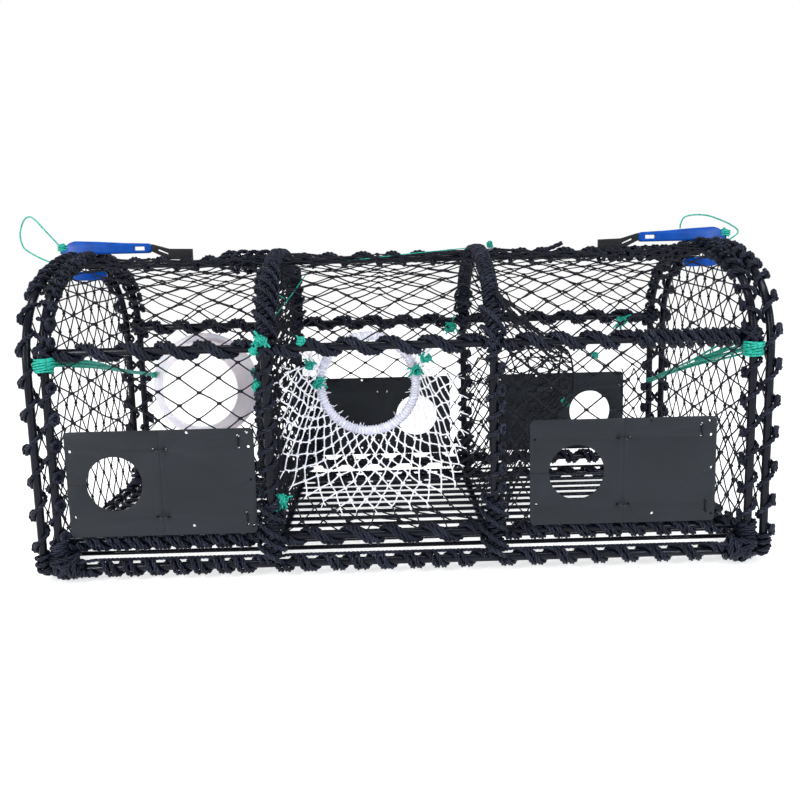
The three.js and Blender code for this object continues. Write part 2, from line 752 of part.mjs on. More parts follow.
// End doors: a closed hoop hinged by rope on the base, filled with net
const doorCornerRadius = 12;
const cornerSteps = 3;
const doorNames = { left: -1, right: 1 };
function doorStations(inset, bottom, corner) {
  const side = halfWidth - inset;
  const stations = sectionStations(bottom + corner, inset).slice(1, -1);
  const lowCorners = [];
  for (let i = 0; i <= cornerSteps; i += 1) {
    const angle = (Math.PI / 2) * (i / cornerSteps);
    const y = side - corner + corner * Math.cos(angle);
    lowCorners.push(new THREE.Vector2(y, bottom + corner - corner * Math.sin(angle)));
  }
  const mirrored = [...lowCorners].reverse().map((point) => new THREE.Vector2(-point.x, point.y));
  return [...stations, ...lowCorners, ...mirrored];
}
function doorHoop(x) {
  const around = doorStations(0, baseRailHeight, doorCornerRadius);
  const stations = around.map((point) => new THREE.Vector3(x, point.x, point.y));
  const curve = new StationCurve(stations, true);
  return new THREE.TubeGeometry(curve, stations.length, barRadius, barSides, true);
}

// The hook: an upright flat moulding with a long upper arm on the ridge, a bend round the door's
// top bar and a short lower arm under the ridge rail's end
const hookLength = 122;
const hookTipLength = 45;
const upperArmHeight = 22;
const upperArmEndHeight = 16;
const lowerArmHeight = 15;
const hookBendDepth = 14;
const tipRise = 3;
const slotLength = 17;
const slotHeight = 6;
const slotInset = 20;
const upperUnder = crownHeight + besideBar;
const lowerTop = ridgeRailHeight - barRadius - tipRise;
const lowerUnder = lowerTop - lowerArmHeight;
const hookCentre = (upperUnder + lowerTop) / 2;
const hookInner = (upperUnder - lowerTop) / 2;
const hookOuterCentre = (upperUnder + upperArmHeight + lowerUnder) / 2;
const hookOuterHalf = (upperUnder + upperArmHeight - lowerUnder) / 2;
const hookOuterReach = hookInner + hookBendDepth;
function hookOutline() {
  const shape = new THREE.Shape();
  shape.moveTo(0, lowerUnder);
  const tipRadius = lowerArmHeight / 2;
  const tipX = hookTipLength - tipRadius;
  const quarter = Math.PI / 2;
  shape.lineTo(tipX, lowerUnder);
  shape.absarc(tipX, lowerUnder + tipRadius, tipRadius, -quarter, quarter, false);
  shape.lineTo(0, lowerTop);
  shape.absarc(0, hookCentre, hookInner, -quarter, quarter, true);
  shape.lineTo(hookLength, upperUnder);
  shape.lineTo(hookLength, upperUnder + upperArmEndHeight);
  shape.lineTo(0, upperUnder + upperArmHeight);
  shape.absellipse(0, hookOuterCentre, hookOuterReach, hookOuterHalf, quarter, 3 * quarter, false, 0);
  const slotMiddle = upperUnder + upperArmEndHeight / 2;
  const slot = new THREE.Path();
  const slotX = hookLength - slotInset;
  slot.moveTo(slotX - slotLength / 2, slotMiddle - slotHeight / 2);
  slot.lineTo(slotX + slotLength / 2, slotMiddle - slotHeight / 2);
  slot.lineTo(slotX + slotLength / 2, slotMiddle + slotHeight / 2);
  slot.lineTo(slotX - slotLength / 2, slotMiddle + slotHeight / 2);
  shape.holes.push(slot);
  return shape;
}

// An outline in x and z as a plate of some thickness centred on y = 0. Outlines are drawn for the
// left end, where +x points into the creel, and turned round for the right end.
function upright(shape, thickness, side, segments) {
  const geometry = new THREE.ExtrudeGeometry(shape, {
    depth: thickness,
    bevelEnabled: false,
    curveSegments: segments,
  });
  geometry.rotateX(Math.PI / 2).translate(0, thickness / 2, 0);
  if (side > 0) geometry.rotateZ(Math.PI);
  return geometry.translate(side * doorX, 0, 0);
}

// Rubber strap: from the hook's inner end along the ridge, with a foot down to the ridge rail
const strapLength = 66;
const strapHeight = 12;
const strapFootLength = 14;
const strapWidth = 10;
function strapOutline() {
  const start = hookLength + clearance;
  const end = start + strapLength;
  const under = upperUnder + (upperArmEndHeight - strapHeight) / 2;
  const shape = new THREE.Shape();
  shape.moveTo(start, under);
  shape.lineTo(end - strapFootLength, under);
  shape.lineTo(end - strapFootLength, ridgeRailHeight + besideBar);
  shape.lineTo(end, ridgeRailHeight + besideBar);
  shape.lineTo(end, under + strapHeight);
  shape.lineTo(start, under + strapHeight);
  return shape;
}

// Door nets: diamonds clipped to the door's inside, with one centred on the hook's lower arm so
// that the arm passes between the strands
const doorMeshWidth = 130;
const doorMeshHeight = 116;
const lashingRadius = 20;
const lashingGap = 1;
const doorNetFoot = baseRailHeight + lashingRadius + lashingGap;
function doorNet(x) {
  const stations = sectionStations(doorNetFoot, besideBar);
  const geometry = flatNet({
    outline: stations.reverse(),
    meshWidth: doorMeshWidth,
    meshHeight: doorMeshHeight,
    centre: new THREE.Vector2(0, (lowerTop + lowerUnder) / 2),
    size: frameWidth,
  });
  geometry.rotateX(Math.PI / 2).rotateZ(Math.PI / 2);
  return geometry.translate(x - netThickness / 2, 0, 0);
}

// Corner lashings: rope wound round the base's end bar and the door's bottom bar, with the turns
// showing as ridges, flat where they stand on the ground
const lashingTurns = 3;
const lashingStart = slatSpan / 2 + slatDiameter / 2 + lashingGap;
const lashingWidth = 26;
const grooveDepth = 2.5;
const ridgeShares = [0.3, 0.7, 1];
const lashingSteps = 4;
const boreSides = 12;
const boreRadius = besideBar / Math.cos(Math.PI / boreSides);
function loft(rings) {
  const count = rings[0].length;
  const faces = [];
  for (let r = 0; r < rings.length - 1; r += 1) {
    for (let i = 0; i < count; i += 1) {
      const next = (i + 1) % count;
      faces.push([r * count + i, r * count + next, (r + 1) * count + next, (r + 1) * count + i]);
    }
  }
  const last = (rings.length - 1) * count;
  faces.push(rings[0].map((_, i) => count - 1 - i));
  faces.push(rings[0].map((_, i) => last + i));
  return faceted(rings.flat(), faces);
}
function lashingRing(y, radius) {
  const points = [];
  const bars = [[doorOffsetLength / 2, -Math.PI / 2], [-doorOffsetLength / 2, Math.PI / 2]];
  for (const [centreX, start] of bars) {
    for (let i = 0; i <= lashingSteps; i += 1) {
      const angle = start + (Math.PI * i) / lashingSteps;
      const x = centreX + radius * Math.cos(angle);
      points.push(new THREE.Vector3(x, y, baseRailHeight + radius * Math.sin(angle)));
    }
  }
  return points;
}
function cornerLashing(side, along) {
  const width = lashingWidth / lashingTurns;
  const rings = [lashingRing(0, lashingRadius - grooveDepth)];
  for (let turn = 0; turn < lashingTurns; turn += 1) {
    for (const share of ridgeShares) {
      const radius = share < 1 ? lashingRadius : lashingRadius - grooveDepth;
      rings.push(lashingRing((turn + share) * width, radius));
    }
  }
  let lashing = solid(loft(rings.reverse()));
  for (const x of [-doorOffsetLength / 2, doorOffsetLength / 2]) {
    const from = new THREE.Vector3(x, -lashingWidth, baseRailHeight);
    const to = new THREE.Vector3(x, 2 * lashingWidth, baseRailHeight);
    lashing = lashing.subtract(solid(rod(from, to, boreRadius * 2, boreSides)));
  }
  const geometry = geometryOf(lashing);
  const startY = along > 0 ? lashingStart : -lashingStart - lashingWidth;
  return geometry.translate(side * (halfLength + doorOffsetLength / 2), startY, 0);
}

for (const [name, side] of Object.entries(doorNames)) {
  add(`${name}_door_hoop`, doorHoop(side * doorX), coatedSteel);
  add(`${name}_door_net`, doorNet(side * doorX), blackNet);
  add(`${name}_hook`, upright(hookOutline(), hookThickness, side, 8), hookBlue);
  add(`${name}_rubber_strap`, upright(strapOutline(), strapWidth, side, 1), rubber);
  for (const [place, along] of Object.entries({ front: -1, rear: 1 })) {
    add(`${name}_${place}_lashing`, cornerLashing(side, along), blackRope);
  }
}

// Base lashings: a rope wound along each base rail. The turns in each bay keep the rope under the
// rail at the hoops, so that it passes clear of their feet and of the cross bars.
const turnsInBay = [5, 5, 5];
const turnSteps = 6;
const ropeSides = 5;
const lashingEnd = halfLength - lashingRadius - ropeDiameter;
const lashingLeadLength = 3;
const windRadius = (barRadius + clearance + ropeDiameter / 2) / Math.cos(Math.PI / turnSteps);
function windingStations(side) {
  const stops = [-lashingEnd, midLeftX + lashingLeadLength, midRightX + lashingLeadLength, lashingEnd];
  const stations = [];
  turnsInBay.forEach((turns, bay) => {
    const steps = turns * turnSteps;
    for (let i = bay ? 1 : 0; i <= steps; i += 1) {
      const angle = (2 * Math.PI * i) / turnSteps;
      const x = THREE.MathUtils.lerp(stops[bay], stops[bay + 1], i / steps);
      const y = side * (halfWidth - windRadius * Math.sin(angle));
      stations.push(new THREE.Vector3(x, y, baseRailHeight - windRadius * Math.cos(angle)));
    }
  });
  return stations;
}

// The least gap between a wound rope and its own neighbouring turns
function leastGap(stations) {
  let least = Infinity;
  for (let i = 0; i < stations.length; i += 1) {
    for (let k = i + Math.ceil(turnSteps * 0.6); k < Math.min(stations.length, i + turnSteps * 2); k += 1) {
      least = Math.min(least, stations[i].distanceTo(stations[k]) - ropeDiameter);
    }
  }
  return least;
}
for (const [place, side] of Object.entries({ front: -1, rear: 1 })) {
  const stations = windingStations(side);
  add(`${place}_base_lashing`, tube(stations, ropeDiameter, ropeSides), blackRope);
  console.log(`${place}_base_lashing: least gap between turns ${leastGap(stations).toFixed(1)} mm`);
}

// Stays: taut twine across each end, from the front leg to the hard eye's rim on the left and to
// the rear leg on the right
const stayRise = 5;
const stayLowHeight = 205;
const staySides = 6;
const stayHeight = springingHeight + stayRise;
const stayFromY = sectionPoint(-1, stayHeight, turnAtHeight(stayHeight), besideBar + clearance).x;
function stay(from, to) {
  return rod(from, to, twineDiameter, staySides);
}
const eyeRimAngle = THREE.MathUtils.degToRad(165);
const eyeRimReach = eyeDiameter / 2 - eyeFlangeWidth / 2;
const eyeRim = new THREE.Vector3(
  eyeX + eyeRimReach * Math.cos(eyeRimAngle),
  eyeBack - eyeWallThickness - clearance - twineDiameter / 2,
  eyeHeight + eyeRimReach * Math.sin(eyeRimAngle),
);
add("left_stay", stay(new THREE.Vector3(-halfLength, stayFromY, stayHeight), eyeRim), tealTwine);
const rearLeg = new THREE.Vector3(halfLength, -stayFromY, stayLowHeight);
add("right_stay", stay(new THREE.Vector3(halfLength, stayFromY, stayHeight), rearLeg), tealTwine);

// Pull loops: a free loop of thin twine from the outer end of each hook. Their points are chosen
// by hand, as distances outwards and upwards from the hook's bend, and towards the rear.
const loopDiameter = 2.5;
const loopSides = 8;
const loopSteps = 27;
const hookHead = hookOuterReach + clearance + loopDiameter / 2;
const leftLoopPoints = [
  [hookHead - 7, 0, 24],
  [hookHead - 1, 0, 28],
  [hookHead + 22, 2, 54],
  [hookHead + 38, 4, 72],
  [hookHead + 48, 5, 77],
  [hookHead + 58, 6, 70],
  [hookHead + 65, 6, 50],
  [hookHead + 63, 5, 34],
  [hookHead + 57, 4, 24],
  [hookHead + 36, 2, 11],
  [hookHead + 8, 0, -1],
  [hookHead, 0, -2],
];
const rightLoopPoints = [
  [hookHead - 3, 0, 14],
  [hookHead + 5, 0, 16],
  [hookHead + 18, 4, 27],
  [hookHead + 8, 9, 38],
  [hookHead - 12, 12, 48],
  [hookHead - 34, 10, 55],
  [hookHead - 58, 6, 56],
  [hookHead - 74, 2, 52],
  [hookHead - 80, 0, 42],
  [hookHead - 81, 0, 34],
];
function pullLoop(side, points) {
  const curve = new THREE.CatmullRomCurve3(
    points.map(([out, back, up]) => new THREE.Vector3(side * (doorX + out), back, hookCentre + up)),
  );
  return new THREE.ExtrudeGeometry(roundSection(loopDiameter / 2, loopSides), {
    steps: loopSteps,
    extrudePath: curve,
  });
}
add("left_pull_loop", pullLoop(-1, leftLoopPoints), tealTwine);
add("right_pull_loop", pullLoop(1, rightLoopPoints), tealTwine);

export default creel;
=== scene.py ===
import bisect
import math
import random

import bmesh
import bpy
from mathutils import Matrix, Vector


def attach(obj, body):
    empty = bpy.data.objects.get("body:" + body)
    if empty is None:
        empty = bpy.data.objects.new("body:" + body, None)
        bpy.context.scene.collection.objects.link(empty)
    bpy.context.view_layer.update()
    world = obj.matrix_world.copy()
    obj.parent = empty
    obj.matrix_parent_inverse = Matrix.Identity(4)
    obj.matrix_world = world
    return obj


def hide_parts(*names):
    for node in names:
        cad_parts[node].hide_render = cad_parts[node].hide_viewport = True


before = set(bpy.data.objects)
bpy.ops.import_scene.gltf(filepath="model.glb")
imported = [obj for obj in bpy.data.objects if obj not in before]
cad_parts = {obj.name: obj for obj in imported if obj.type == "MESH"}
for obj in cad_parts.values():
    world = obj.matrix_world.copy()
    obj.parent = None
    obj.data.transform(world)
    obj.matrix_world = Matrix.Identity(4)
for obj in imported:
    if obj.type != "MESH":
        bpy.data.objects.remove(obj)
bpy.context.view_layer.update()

# Hoops and rails
# Twelve millimetre steel bar in a black plastic coat. Four D-shaped hoops stand on the base with
# both legs, and five straight rails lie against their inside, lashed where they cross.
bar_radius = 0.006
bar_sides = 16
half_length = 0.5
half_width = 0.25
mid_left_x = -0.192
mid_right_x = 0.131
base_height = 0.02
leg_foot = 0.0263
springing_height = 0.313
shoulder_radius = 0.125
shoulder_turn = math.radians(65)
crown_radius = 0.420775
crown_height = 0.465712
crown_centre = crown_height - crown_radius
shoulder_steps = 12
crown_steps = 16
rail_inset = 0.0123
end_round_share = 0.2
merge_distance = 1e-6
uneven_way = Vector((1, math.sqrt(2), math.sqrt(3)))
up = Vector((0, 0, 1))
lengthways = Vector((1, 0, 0))
sides = {"left": -1, "right": 1}
faces = {"front": -1, "rear": 1}
scene = bpy.context.scene
full_turn = 2 * math.pi
quarter_turn = math.pi / 2


class Amount:
    """A number that varies over a surface. Sums on it add the Math nodes that work it out."""

    def __init__(self, finish, socket):
        self.finish = finish
        self.socket = socket

    def maths(self, operation, other):
        sockets = {0: self, 1: other}
        return self.finish.node("ShaderNodeMath", {"operation": operation}, sockets)

    def __add__(self, other):
        return self.maths("ADD", other)

    def __mul__(self, other):
        return self.maths("MULTIPLY", other)

    def __gt__(self, other):
        return self.maths("GREATER_THAN", other)


class Finish:
    """A material whose nodes are added one at a time."""

    def __init__(self, name, **even):
        self.material = bpy.data.materials.new(name)
        self.material.use_nodes = True
        self.tree = self.material.node_tree
        self.shader = self.tree.nodes["Principled BSDF"]
        for socket, value in even.items():
            self.shader.inputs[socket.replace("_", " ")].default_value = value

    def node(self, kind, settings, sockets, output=0):
        node = self.tree.nodes.new(kind)
        for setting, value in settings.items():
            if setting == "stops":
                self.set_stops(node.color_ramp, value)
            else:
                setattr(node, setting, value)
        for socket, value in sockets.items():
            if isinstance(value, Amount):
                self.tree.links.new(value.socket, node.inputs[socket])
            else:
                node.inputs[socket].default_value = value
        return Amount(self, node.outputs[output])

    def set_stops(self, ramp, stops):
        for place, _ in stops[2:]:
            ramp.elements.new(place)
        for element, (place, shade) in zip(ramp.elements, stops):
            element.position = place
            element.color = (*shade, 1)

    def place(self, kind, stretch=(1, 1, 1)):
        """Where a pattern is read: Object, or UV along and round a strand."""
        at = self.node("ShaderNodeTexCoord", {}, {}, kind)
        return self.node("ShaderNodeMapping", {}, {"Vector": at, "Scale": stretch})

    def noise(self, at, scale, detail=3.0):
        return self.node("ShaderNodeTexNoise", {}, {"Vector": at, "Scale": scale, "Detail": detail})

    def ramp(self, amount, stops):
        return self.node("ShaderNodeValToRGB", {"stops": stops}, {"Fac": amount})

    def bump(self, height, strength, distance):
        sockets = {"Height": height, "Strength": strength, "Distance": distance}
        return self.node("ShaderNodeBump", {}, sockets)

    def feed(self, **varying):
        for socket, amount in varying.items():
            self.tree.links.new(amount.socket, self.shader.inputs[socket.replace("_", " ")])


def patterned(
    name, stops, scale=1.0, detail=3.0, fibres=None, stretch=(1, 1, 1),
    roughness=None, bump=None, grain=None, **even,
):
    """A finish whose colour follows a noise, drawn out along a strand where it has fibres. Its
    roughness follows the same noise, and its bumps do too or follow a finer grain."""
    made = Finish(name, **even)
    at = made.place("UV", fibres) if fibres else made.place("Object", stretch)
    cloud = made.noise(at, scale, detail)
    made.feed(Base_Color=made.ramp(cloud, stops))
    if roughness:
        share, least = roughness
        made.feed(Roughness=cloud * share + least)
    if bump:
        height = made.noise(made.place("Object"), grain) if grain else cloud
        made.feed(Normal=made.bump(height, *bump))
    return made


def shown(name, content):
    """A new object in the scene."""
    made = bpy.data.objects.new(name, content)
    scene.collection.objects.link(made)
    return made


def piece(name, mesh, finish, body, slot, *nodes):
    """A finished mesh in the scene, riding on a body and standing for its CAD nodes."""
    made = shown(name, mesh)
    mesh.materials.append(finish.material)
    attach(made, body)
    if nodes:
        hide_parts(*nodes)
    return made


def ordered(shape):
    """Puts the parts of a bmesh in order of place, as spin and extrude add them in any order."""
    shape.verts.sort(key=lambda vert: vert.co.dot(uneven_way))
    shape.edges.sort(key=lambda edge: (edge.verts[0].co + edge.verts[1].co).dot(uneven_way))
    shape.faces.sort(key=lambda face: face.calc_center_median().dot(uneven_way))


def plain_mesh(shape, name):
    mesh = bpy.data.meshes.new(name)
    shape.to_mesh(mesh)
    shape.free()
    return mesh


def finished(shape, name, crease=math.radians(40)):
    """The mesh of a bmesh, its doubles merged, its faces outwards and its soft edges smooth."""
    bmesh.ops.remove_doubles(shape, verts=shape.verts, dist=merge_distance)
    bmesh.ops.recalc_face_normals(shape, faces=shape.faces)
    ordered(shape)
    mesh = plain_mesh(shape, name)
    mesh.shade_smooth()
    mesh.set_sharp_from_angle(angle=crease)
    return mesh


def edges_of(made):
    return [part for part in made if isinstance(part, bmesh.types.BMEdge)]


def straight(shape, ring, way):
    """Draws a bar on from its last ring in a straight line."""
    made = bmesh.ops.extrude_edge_only(shape, edges=ring)["geom"]
    ends = [part for part in made if isinstance(part, bmesh.types.BMVert)]
    bmesh.ops.translate(shape, vec=way, verts=ends)
    return [edge for edge in edges_of(made) if all(vert in ends for vert in edge.verts)]


def bend(shape, ring, centre, axis, angle, steps):
    """Draws a bar on from its last ring round a bend."""
    made = bmesh.ops.spin(
        shape, geom=ring, cent=centre, axis=axis, angle=angle, steps=steps,
        use_merge=False, use_duplicate=False,
    )
    return edges_of(made["geom_last"])


def edges_at(verts):
    """The edges that meet some vertices, each once."""
    return list(dict.fromkeys(edge for vert in verts for edge in vert.link_edges))


def aimed(at, way, axis="Z"):
    """A place and a turn that points an axis along a way."""
    return Matrix.Translation(at) @ way.to_track_quat(axis, "Y").to_matrix().to_4x4()


def start_ring(shape, at, facing, capped):
    made = bmesh.ops.create_circle(
        shape, cap_ends=capped, radius=bar_radius, segments=bar_sides, matrix=aimed(at, facing),
    )
    return edges_at(made["verts"])


def soften(shape, geom, size, affect="EDGES"):
    bmesh.ops.bevel(
        shape, geom=geom, offset=size, segments=2, affect=affect, profile=0.5, material=-1,
    )


def spun_round(shape, centre, axis, steps):
    """Turns a section once round an axis, into a closed ring."""
    bmesh.ops.spin(
        shape, geom=[*shape.verts, *shape.edges], cent=centre, axis=axis,
        angle=full_turn, steps=steps, use_merge=True, use_duplicate=False,
    )


inward_axis = Vector((-1, 0, 0))


def over_the_top(shape, ring, x):
    """The shoulders and the crown of a D, from the top of the front leg to the rear one's."""
    front = Vector((x, shoulder_radius - half_width, springing_height))
    rear = Vector((x, half_width - shoulder_radius, springing_height))
    crown_turn = math.pi - 2 * shoulder_turn
    ring = bend(shape, ring, front, inward_axis, shoulder_turn, shoulder_steps)
    ring = bend(shape, ring, Vector((x, 0, crown_centre)), inward_axis, crown_turn, crown_steps)
    return bend(shape, ring, rear, inward_axis, shoulder_turn, shoulder_steps)


def hoop(x):
    shape = bmesh.new()
    leg = Vector((0, 0, springing_height - leg_foot))
    ring = start_ring(shape, Vector((x, -half_width, leg_foot)), up, True)
    ring = straight(shape, ring, leg)
    ring = over_the_top(shape, ring, x)
    ring = straight(shape, ring, -leg)
    bmesh.ops.contextual_create(shape, geom=ring)
    return shape


coat = patterned(
    "black_bar_coat", [(0.3, (0.003, 0.0035, 0.007)), (0.75, (0.008, 0.009, 0.016))],
    scale=21.0, roughness=(0.14, 0.13), bump=(0.2, 0.0004), grain=190.0, Specular_IOR_Level=0.14,
)

hoops_at = {
    "left_end_hoop": -half_length,
    "mid_left_hoop": mid_left_x,
    "mid_right_hoop": mid_right_x,
    "right_end_hoop": half_length,
}
for node, x in hoops_at.items():
    piece(f"{node}_bar", finished(hoop(x), node), coat, "frame", "coated_steel", node)


def round_bar(shape, start, end, radius=bar_radius, sides=bar_sides):
    """Adds a straight bar, made on its own, with its ends a little rounded."""
    way = end - start
    bar = bmesh.new()
    bmesh.ops.create_cone(
        bar, cap_ends=True, segments=sides, radius1=radius, radius2=radius,
        depth=way.length, matrix=aimed((start + end) / 2, way),
    )
    rims = [
        edge for edge in bar.edges
        if abs((edge.verts[0].co - edge.verts[1].co).dot(way)) < 1e-9
    ]
    soften(bar, rims, radius * end_round_share)
    mesh = plain_mesh(bar, "bar")
    shape.from_mesh(mesh)
    bpy.data.meshes.remove(mesh)


def long_bar(shape, reach, y, z, *section):
    round_bar(shape, Vector((-reach, y, z)), Vector((reach, y, z)), *section)


mid_rail_y = 0.2359
mid_rail_height = 0.3328
low_rail_y = half_width - rail_inset
low_rail_height = 0.056
ridge_height = crown_height - rail_inset
rails_at = {
    "ridge_rail": (0.0, ridge_height),
    "front_mid_rail": (-mid_rail_y, mid_rail_height),
    "rear_mid_rail": (mid_rail_y, mid_rail_height),
    "front_low_rail": (-low_rail_y, low_rail_height),
    "rear_low_rail": (low_rail_y, low_rail_height),
}
rail_end = half_length + bar_radius
for node, (y, z) in rails_at.items():
    shape = bmesh.new()
    long_bar(shape, rail_end, y, z)
    piece(f"{node}_bar", finished(shape, node), coat, "frame", "coated_steel", node)

# Base
# Two long rails and four cross bars of the same bar, welded at their crossings. Twelve thin slats
# run along the creel on top of the cross bars, each with a bead of weld where it sits on one.
slat_radius = 0.0034
slat_sides = 10
slat_height = 0.028
slat_count = 12
slat_pitch = 0.0375
bead_radius = 0.0042
bead_height = slat_height - slat_radius * 0.7
bead_shape = (1.25, 0.7, 0.6, 1)
shape = bmesh.new()
for y in (-half_width, half_width):
    long_bar(shape, rail_end, y, base_height)
for x in hoops_at.values():
    round_bar(shape, Vector((x, -half_width, base_height)), Vector((x, half_width, base_height)))
for count in range(slat_count):
    y = (count - (slat_count - 1) / 2) * slat_pitch
    long_bar(shape, half_length, y, slat_height, slat_radius, slat_sides)
    for x in hoops_at.values():
        for side in (-1, 1):
            bead = Vector((x, y + side * slat_radius, bead_height))
            flat = Matrix.Translation(bead) @ Matrix.Diagonal(bead_shape)
            bmesh.ops.create_icosphere(shape, subdivisions=1, radius=bead_radius, matrix=flat)
piece("base_bars", finished(shape, "base_frame"), coat, "frame", "coated_steel", "base_frame")

# Rope on the rails
# Black three-strand rope, wound round each rail over the net's edge, and crossed over both bars
# wherever a rail meets a hoop. Its strands are seen as slanting lumps. Pale fibre streaks painted
# along them stand in for highlights.
chance = random.Random(7)
rail_rope_diameter = 0.009
rope_diameter = 0.008
thin_rope_diameter = 0.007
strand_share = 0.232
strand_offset_share = 0.268
lay_share = 3.4
rope_clearance = 0.0003
band_shift_share = 1.25
wound_steps = 16
hitch_loop_steps = 12
hitch_steps = 22
hitch_run_steps = 18


def shake(reach=1):
    """A random way, with each of its lengths up to a reach."""
    return Vector([chance.uniform(-reach, reach) for _ in range(3)])


def swung(first, second, angle):
    """The way at an angle from a first way towards a second."""
    return first * math.cos(angle) + second * math.sin(angle)


def over_bar(diameter):
    """How far a rope's middle lies from that of the bar that it is wound on."""
    return bar_radius + rope_clearance + diameter / 2


class BarLine:
    """A bar's centre line, with the way that faces outwards at each place along it."""

    def __init__(self, places):
        self.places = places
        self.reached = [0.0]
        for (before, _), (after, _) in zip(places, places[1:]):
            self.reached.append(self.reached[-1] + (after - before).length)
        self.length = self.reached[-1]

    def at(self, distance):
        """The point at a distance along the bar, and the ways outwards and sideways there."""
        k = min(max(bisect.bisect_right(self.reached, distance) - 1, 0), len(self.places) - 2)
        share = (distance - self.reached[k]) / (self.reached[k + 1] - self.reached[k])
        (before, out_before), (after, out_after) = self.places[k], self.places[k + 1]
        outward = out_before.lerp(out_after, share).normalized()
        along = (after - before).normalized()
        return before.lerp(after, share), outward, along.cross(outward)

    def point(self, share):
        return self.at(share * self.length)[0]

    def both_ways(self, start, end):
        """A span of the line, and its mirror image counted from the line's other end."""
        return ((start, end), (self.length - end, self.length - start))


def wound(line, start, end, pitch, radius, facing=0.0, hand=1, tilt=0.0, play=0.0):
    """The route of a rope wound round a bar from one distance along it to another. Tilt slants
    its turns, and play shakes their places and how far they stand off."""
    turns = max(1, round((end - start) / pitch))
    route = []
    after = start
    for turn in range(turns):
        before = after
        after = start + (end - start) * (turn + 1 + chance.uniform(-play, play)) / turns
        slack = radius * chance.uniform(0, play) * 0.4
        for step in range(wound_steps):
            way = step / wound_steps
            angle = facing + hand * full_turn * way
            distance = before + (after - before) * way + tilt * radius * math.sin(angle)
            point, outward, aside = line.at(distance)
            reach = radius + slack * math.sin(math.pi * way)
            route.append(point + swung(outward, aside, angle) * reach)
    return route


def banded(line, start, end, pitch, diameter, hand=1, tilt=0.3, play=0.06):
    """Two ropes laid side by side and wound together round a bar, as two routes."""
    radius = over_bar(diameter)
    shift = diameter * band_shift_share
    turned = {"hand": hand, "tilt": tilt, "play": play}
    order = chance.getstate()
    first = wound(line, start, end - shift, pitch, radius, **turned)
    chance.setstate(order)
    second = wound(line, start + shift, end, pitch, radius, **turned)
    return [first, second]


def hitched(line, start, end, spacing, diameter, facing, hand=1):
    """The route of a rope wound openly round a bar. In each turn it makes a half hitch, which
    stands out as a lump on the side that it faces."""
    hitches = max(1, round((end - start) / spacing))
    pitch = (end - start) / hitches
    radius = over_bar(diameter)
    places = []
    for hitch in range(hitches):
        knot = start + pitch * (hitch + chance.uniform(0.02, 0.16))
        side = facing + chance.uniform(-0.25, 0.25)
        curl = diameter * chance.uniform(0.8, 1.0)
        for step in range(hitch_steps + 1):
            turn = full_turn * step / hitch_loop_steps
            reach = radius + diameter * 0.55 * math.sin(math.pi * step / hitch_steps)
            sway = 0.7 * curl / radius * (math.cos(turn) - 1)
            places.append((knot + curl * math.sin(turn), side + sway, reach))
        for step in range(1, hitch_run_steps):
            way = step / hitch_run_steps
            places.append((knot + pitch * 0.94 * way, side + hand * full_turn * way, radius))
    route = []
    for distance, angle, reach in places:
        point, outward, aside = line.at(min(distance, end))
        route.append(point + swung(outward, aside, angle) * reach)
    return route


def evened(route, step):
    """The same route with its points an even step apart."""
    points = [route[0]]
    left = step
    for before, after in zip(route, route[1:]):
        length = (after - before).length
        gone = 0.0
        while length - gone >= left and length > 0:
            gone += left
            points.append(before.lerp(after, gone / length))
            left = step
        left -= length - gone
    points.append(route[-1])
    return points


def laid(route, diameter):
    """The routes of three strands that are twisted round each other along a rope."""
    points = evened(route, diameter * 0.45)
    lay = diameter * lay_share
    strands = [[], [], []]
    way = (points[1] - points[0]).normalized()
    across = way.orthogonal().normalized()
    gone = 0.0
    for k, point in enumerate(points):
        if k:
            gone += (point - points[k - 1]).length
        ahead = (points[min(k + 1, len(points) - 1)] - points[max(k - 1, 0)]).normalized()
        across = (across - ahead * across.dot(ahead)).normalized()
        beside = ahead.cross(across)
        for strand, path in enumerate(strands):
            lean = swung(across, beside, full_turn * (gone / lay + strand / 3))
            path.append(point + lean * diameter * strand_offset_share)
    return strands


def curve_of(name, routes, dimensions, bevel, bevel_steps):
    """A curve that runs straight from point to point along each route."""
    curve = bpy.data.curves.new(name, "CURVE")
    curve.dimensions = dimensions
    curve.bevel_depth = bevel
    curve.bevel_resolution = bevel_steps
    curve.use_fill_caps = dimensions == "3D"
    for route in routes:
        spline = curve.splines.new("POLY")
        spline.points.add(len(route) - 1)
        spline.points.foreach_set("co", [value for point in route for value in (*point, 1.0)])
    return curve


def meshed(curve):
    holder = bpy.data.objects.new(curve.name, curve)
    mesh = bpy.data.meshes.new_from_object(holder)
    bpy.data.objects.remove(holder)
    bpy.data.curves.remove(curve)
    return mesh


def tubes(name, routes, diameter, round_steps=1, widths=()):
    """A mesh of round strands along routes of points, with a pattern place along and round each."""
    curve = curve_of(name, routes, "3D", diameter / 2, round_steps)
    for spline, width in zip(curve.splines, widths):
        spline.points.foreach_set("radius", width)
    mesh = meshed(curve)
    mesh.materials.clear()
    mesh.shade_smooth()
    return mesh


def rope_piece(name, routes, diameter, *nodes, body="frame"):
    strands = [strand for route in routes for strand in laid(route, diameter)]
    mesh = tubes(name, strands, diameter * strand_share * 2)
    piece(name, mesh, rope, body, "black_rope", *nodes)


rope = Finish("black_rope", Specular_IOR_Level=0.16)
# The fibre streaks set the rope's roughness and bumps. In its colour, the pale top stop of the ramp is a
# painted highlight along the strands.
rope_fibre_and_highlight = rope.noise(rope.place("UV", (260.0, 7.0, 1.0)), 1.0, 4.0)
rope_cloud = rope.noise(rope.place("Object"), 33.0)
rope.feed(
    Base_Color=rope.ramp(
        rope_fibre_and_highlight * 0.75 + rope_cloud * 0.25,
        [(0.38, (0.003, 0.0035, 0.008)), (0.55, (0.009, 0.011, 0.023)), (0.68, (0.065, 0.075, 0.12))],
    ),
    Roughness=rope_fibre_and_highlight * 0.3 + 0.28,
    Normal=rope.bump(rope_fibre_and_highlight, 0.5, 0.0006),
)

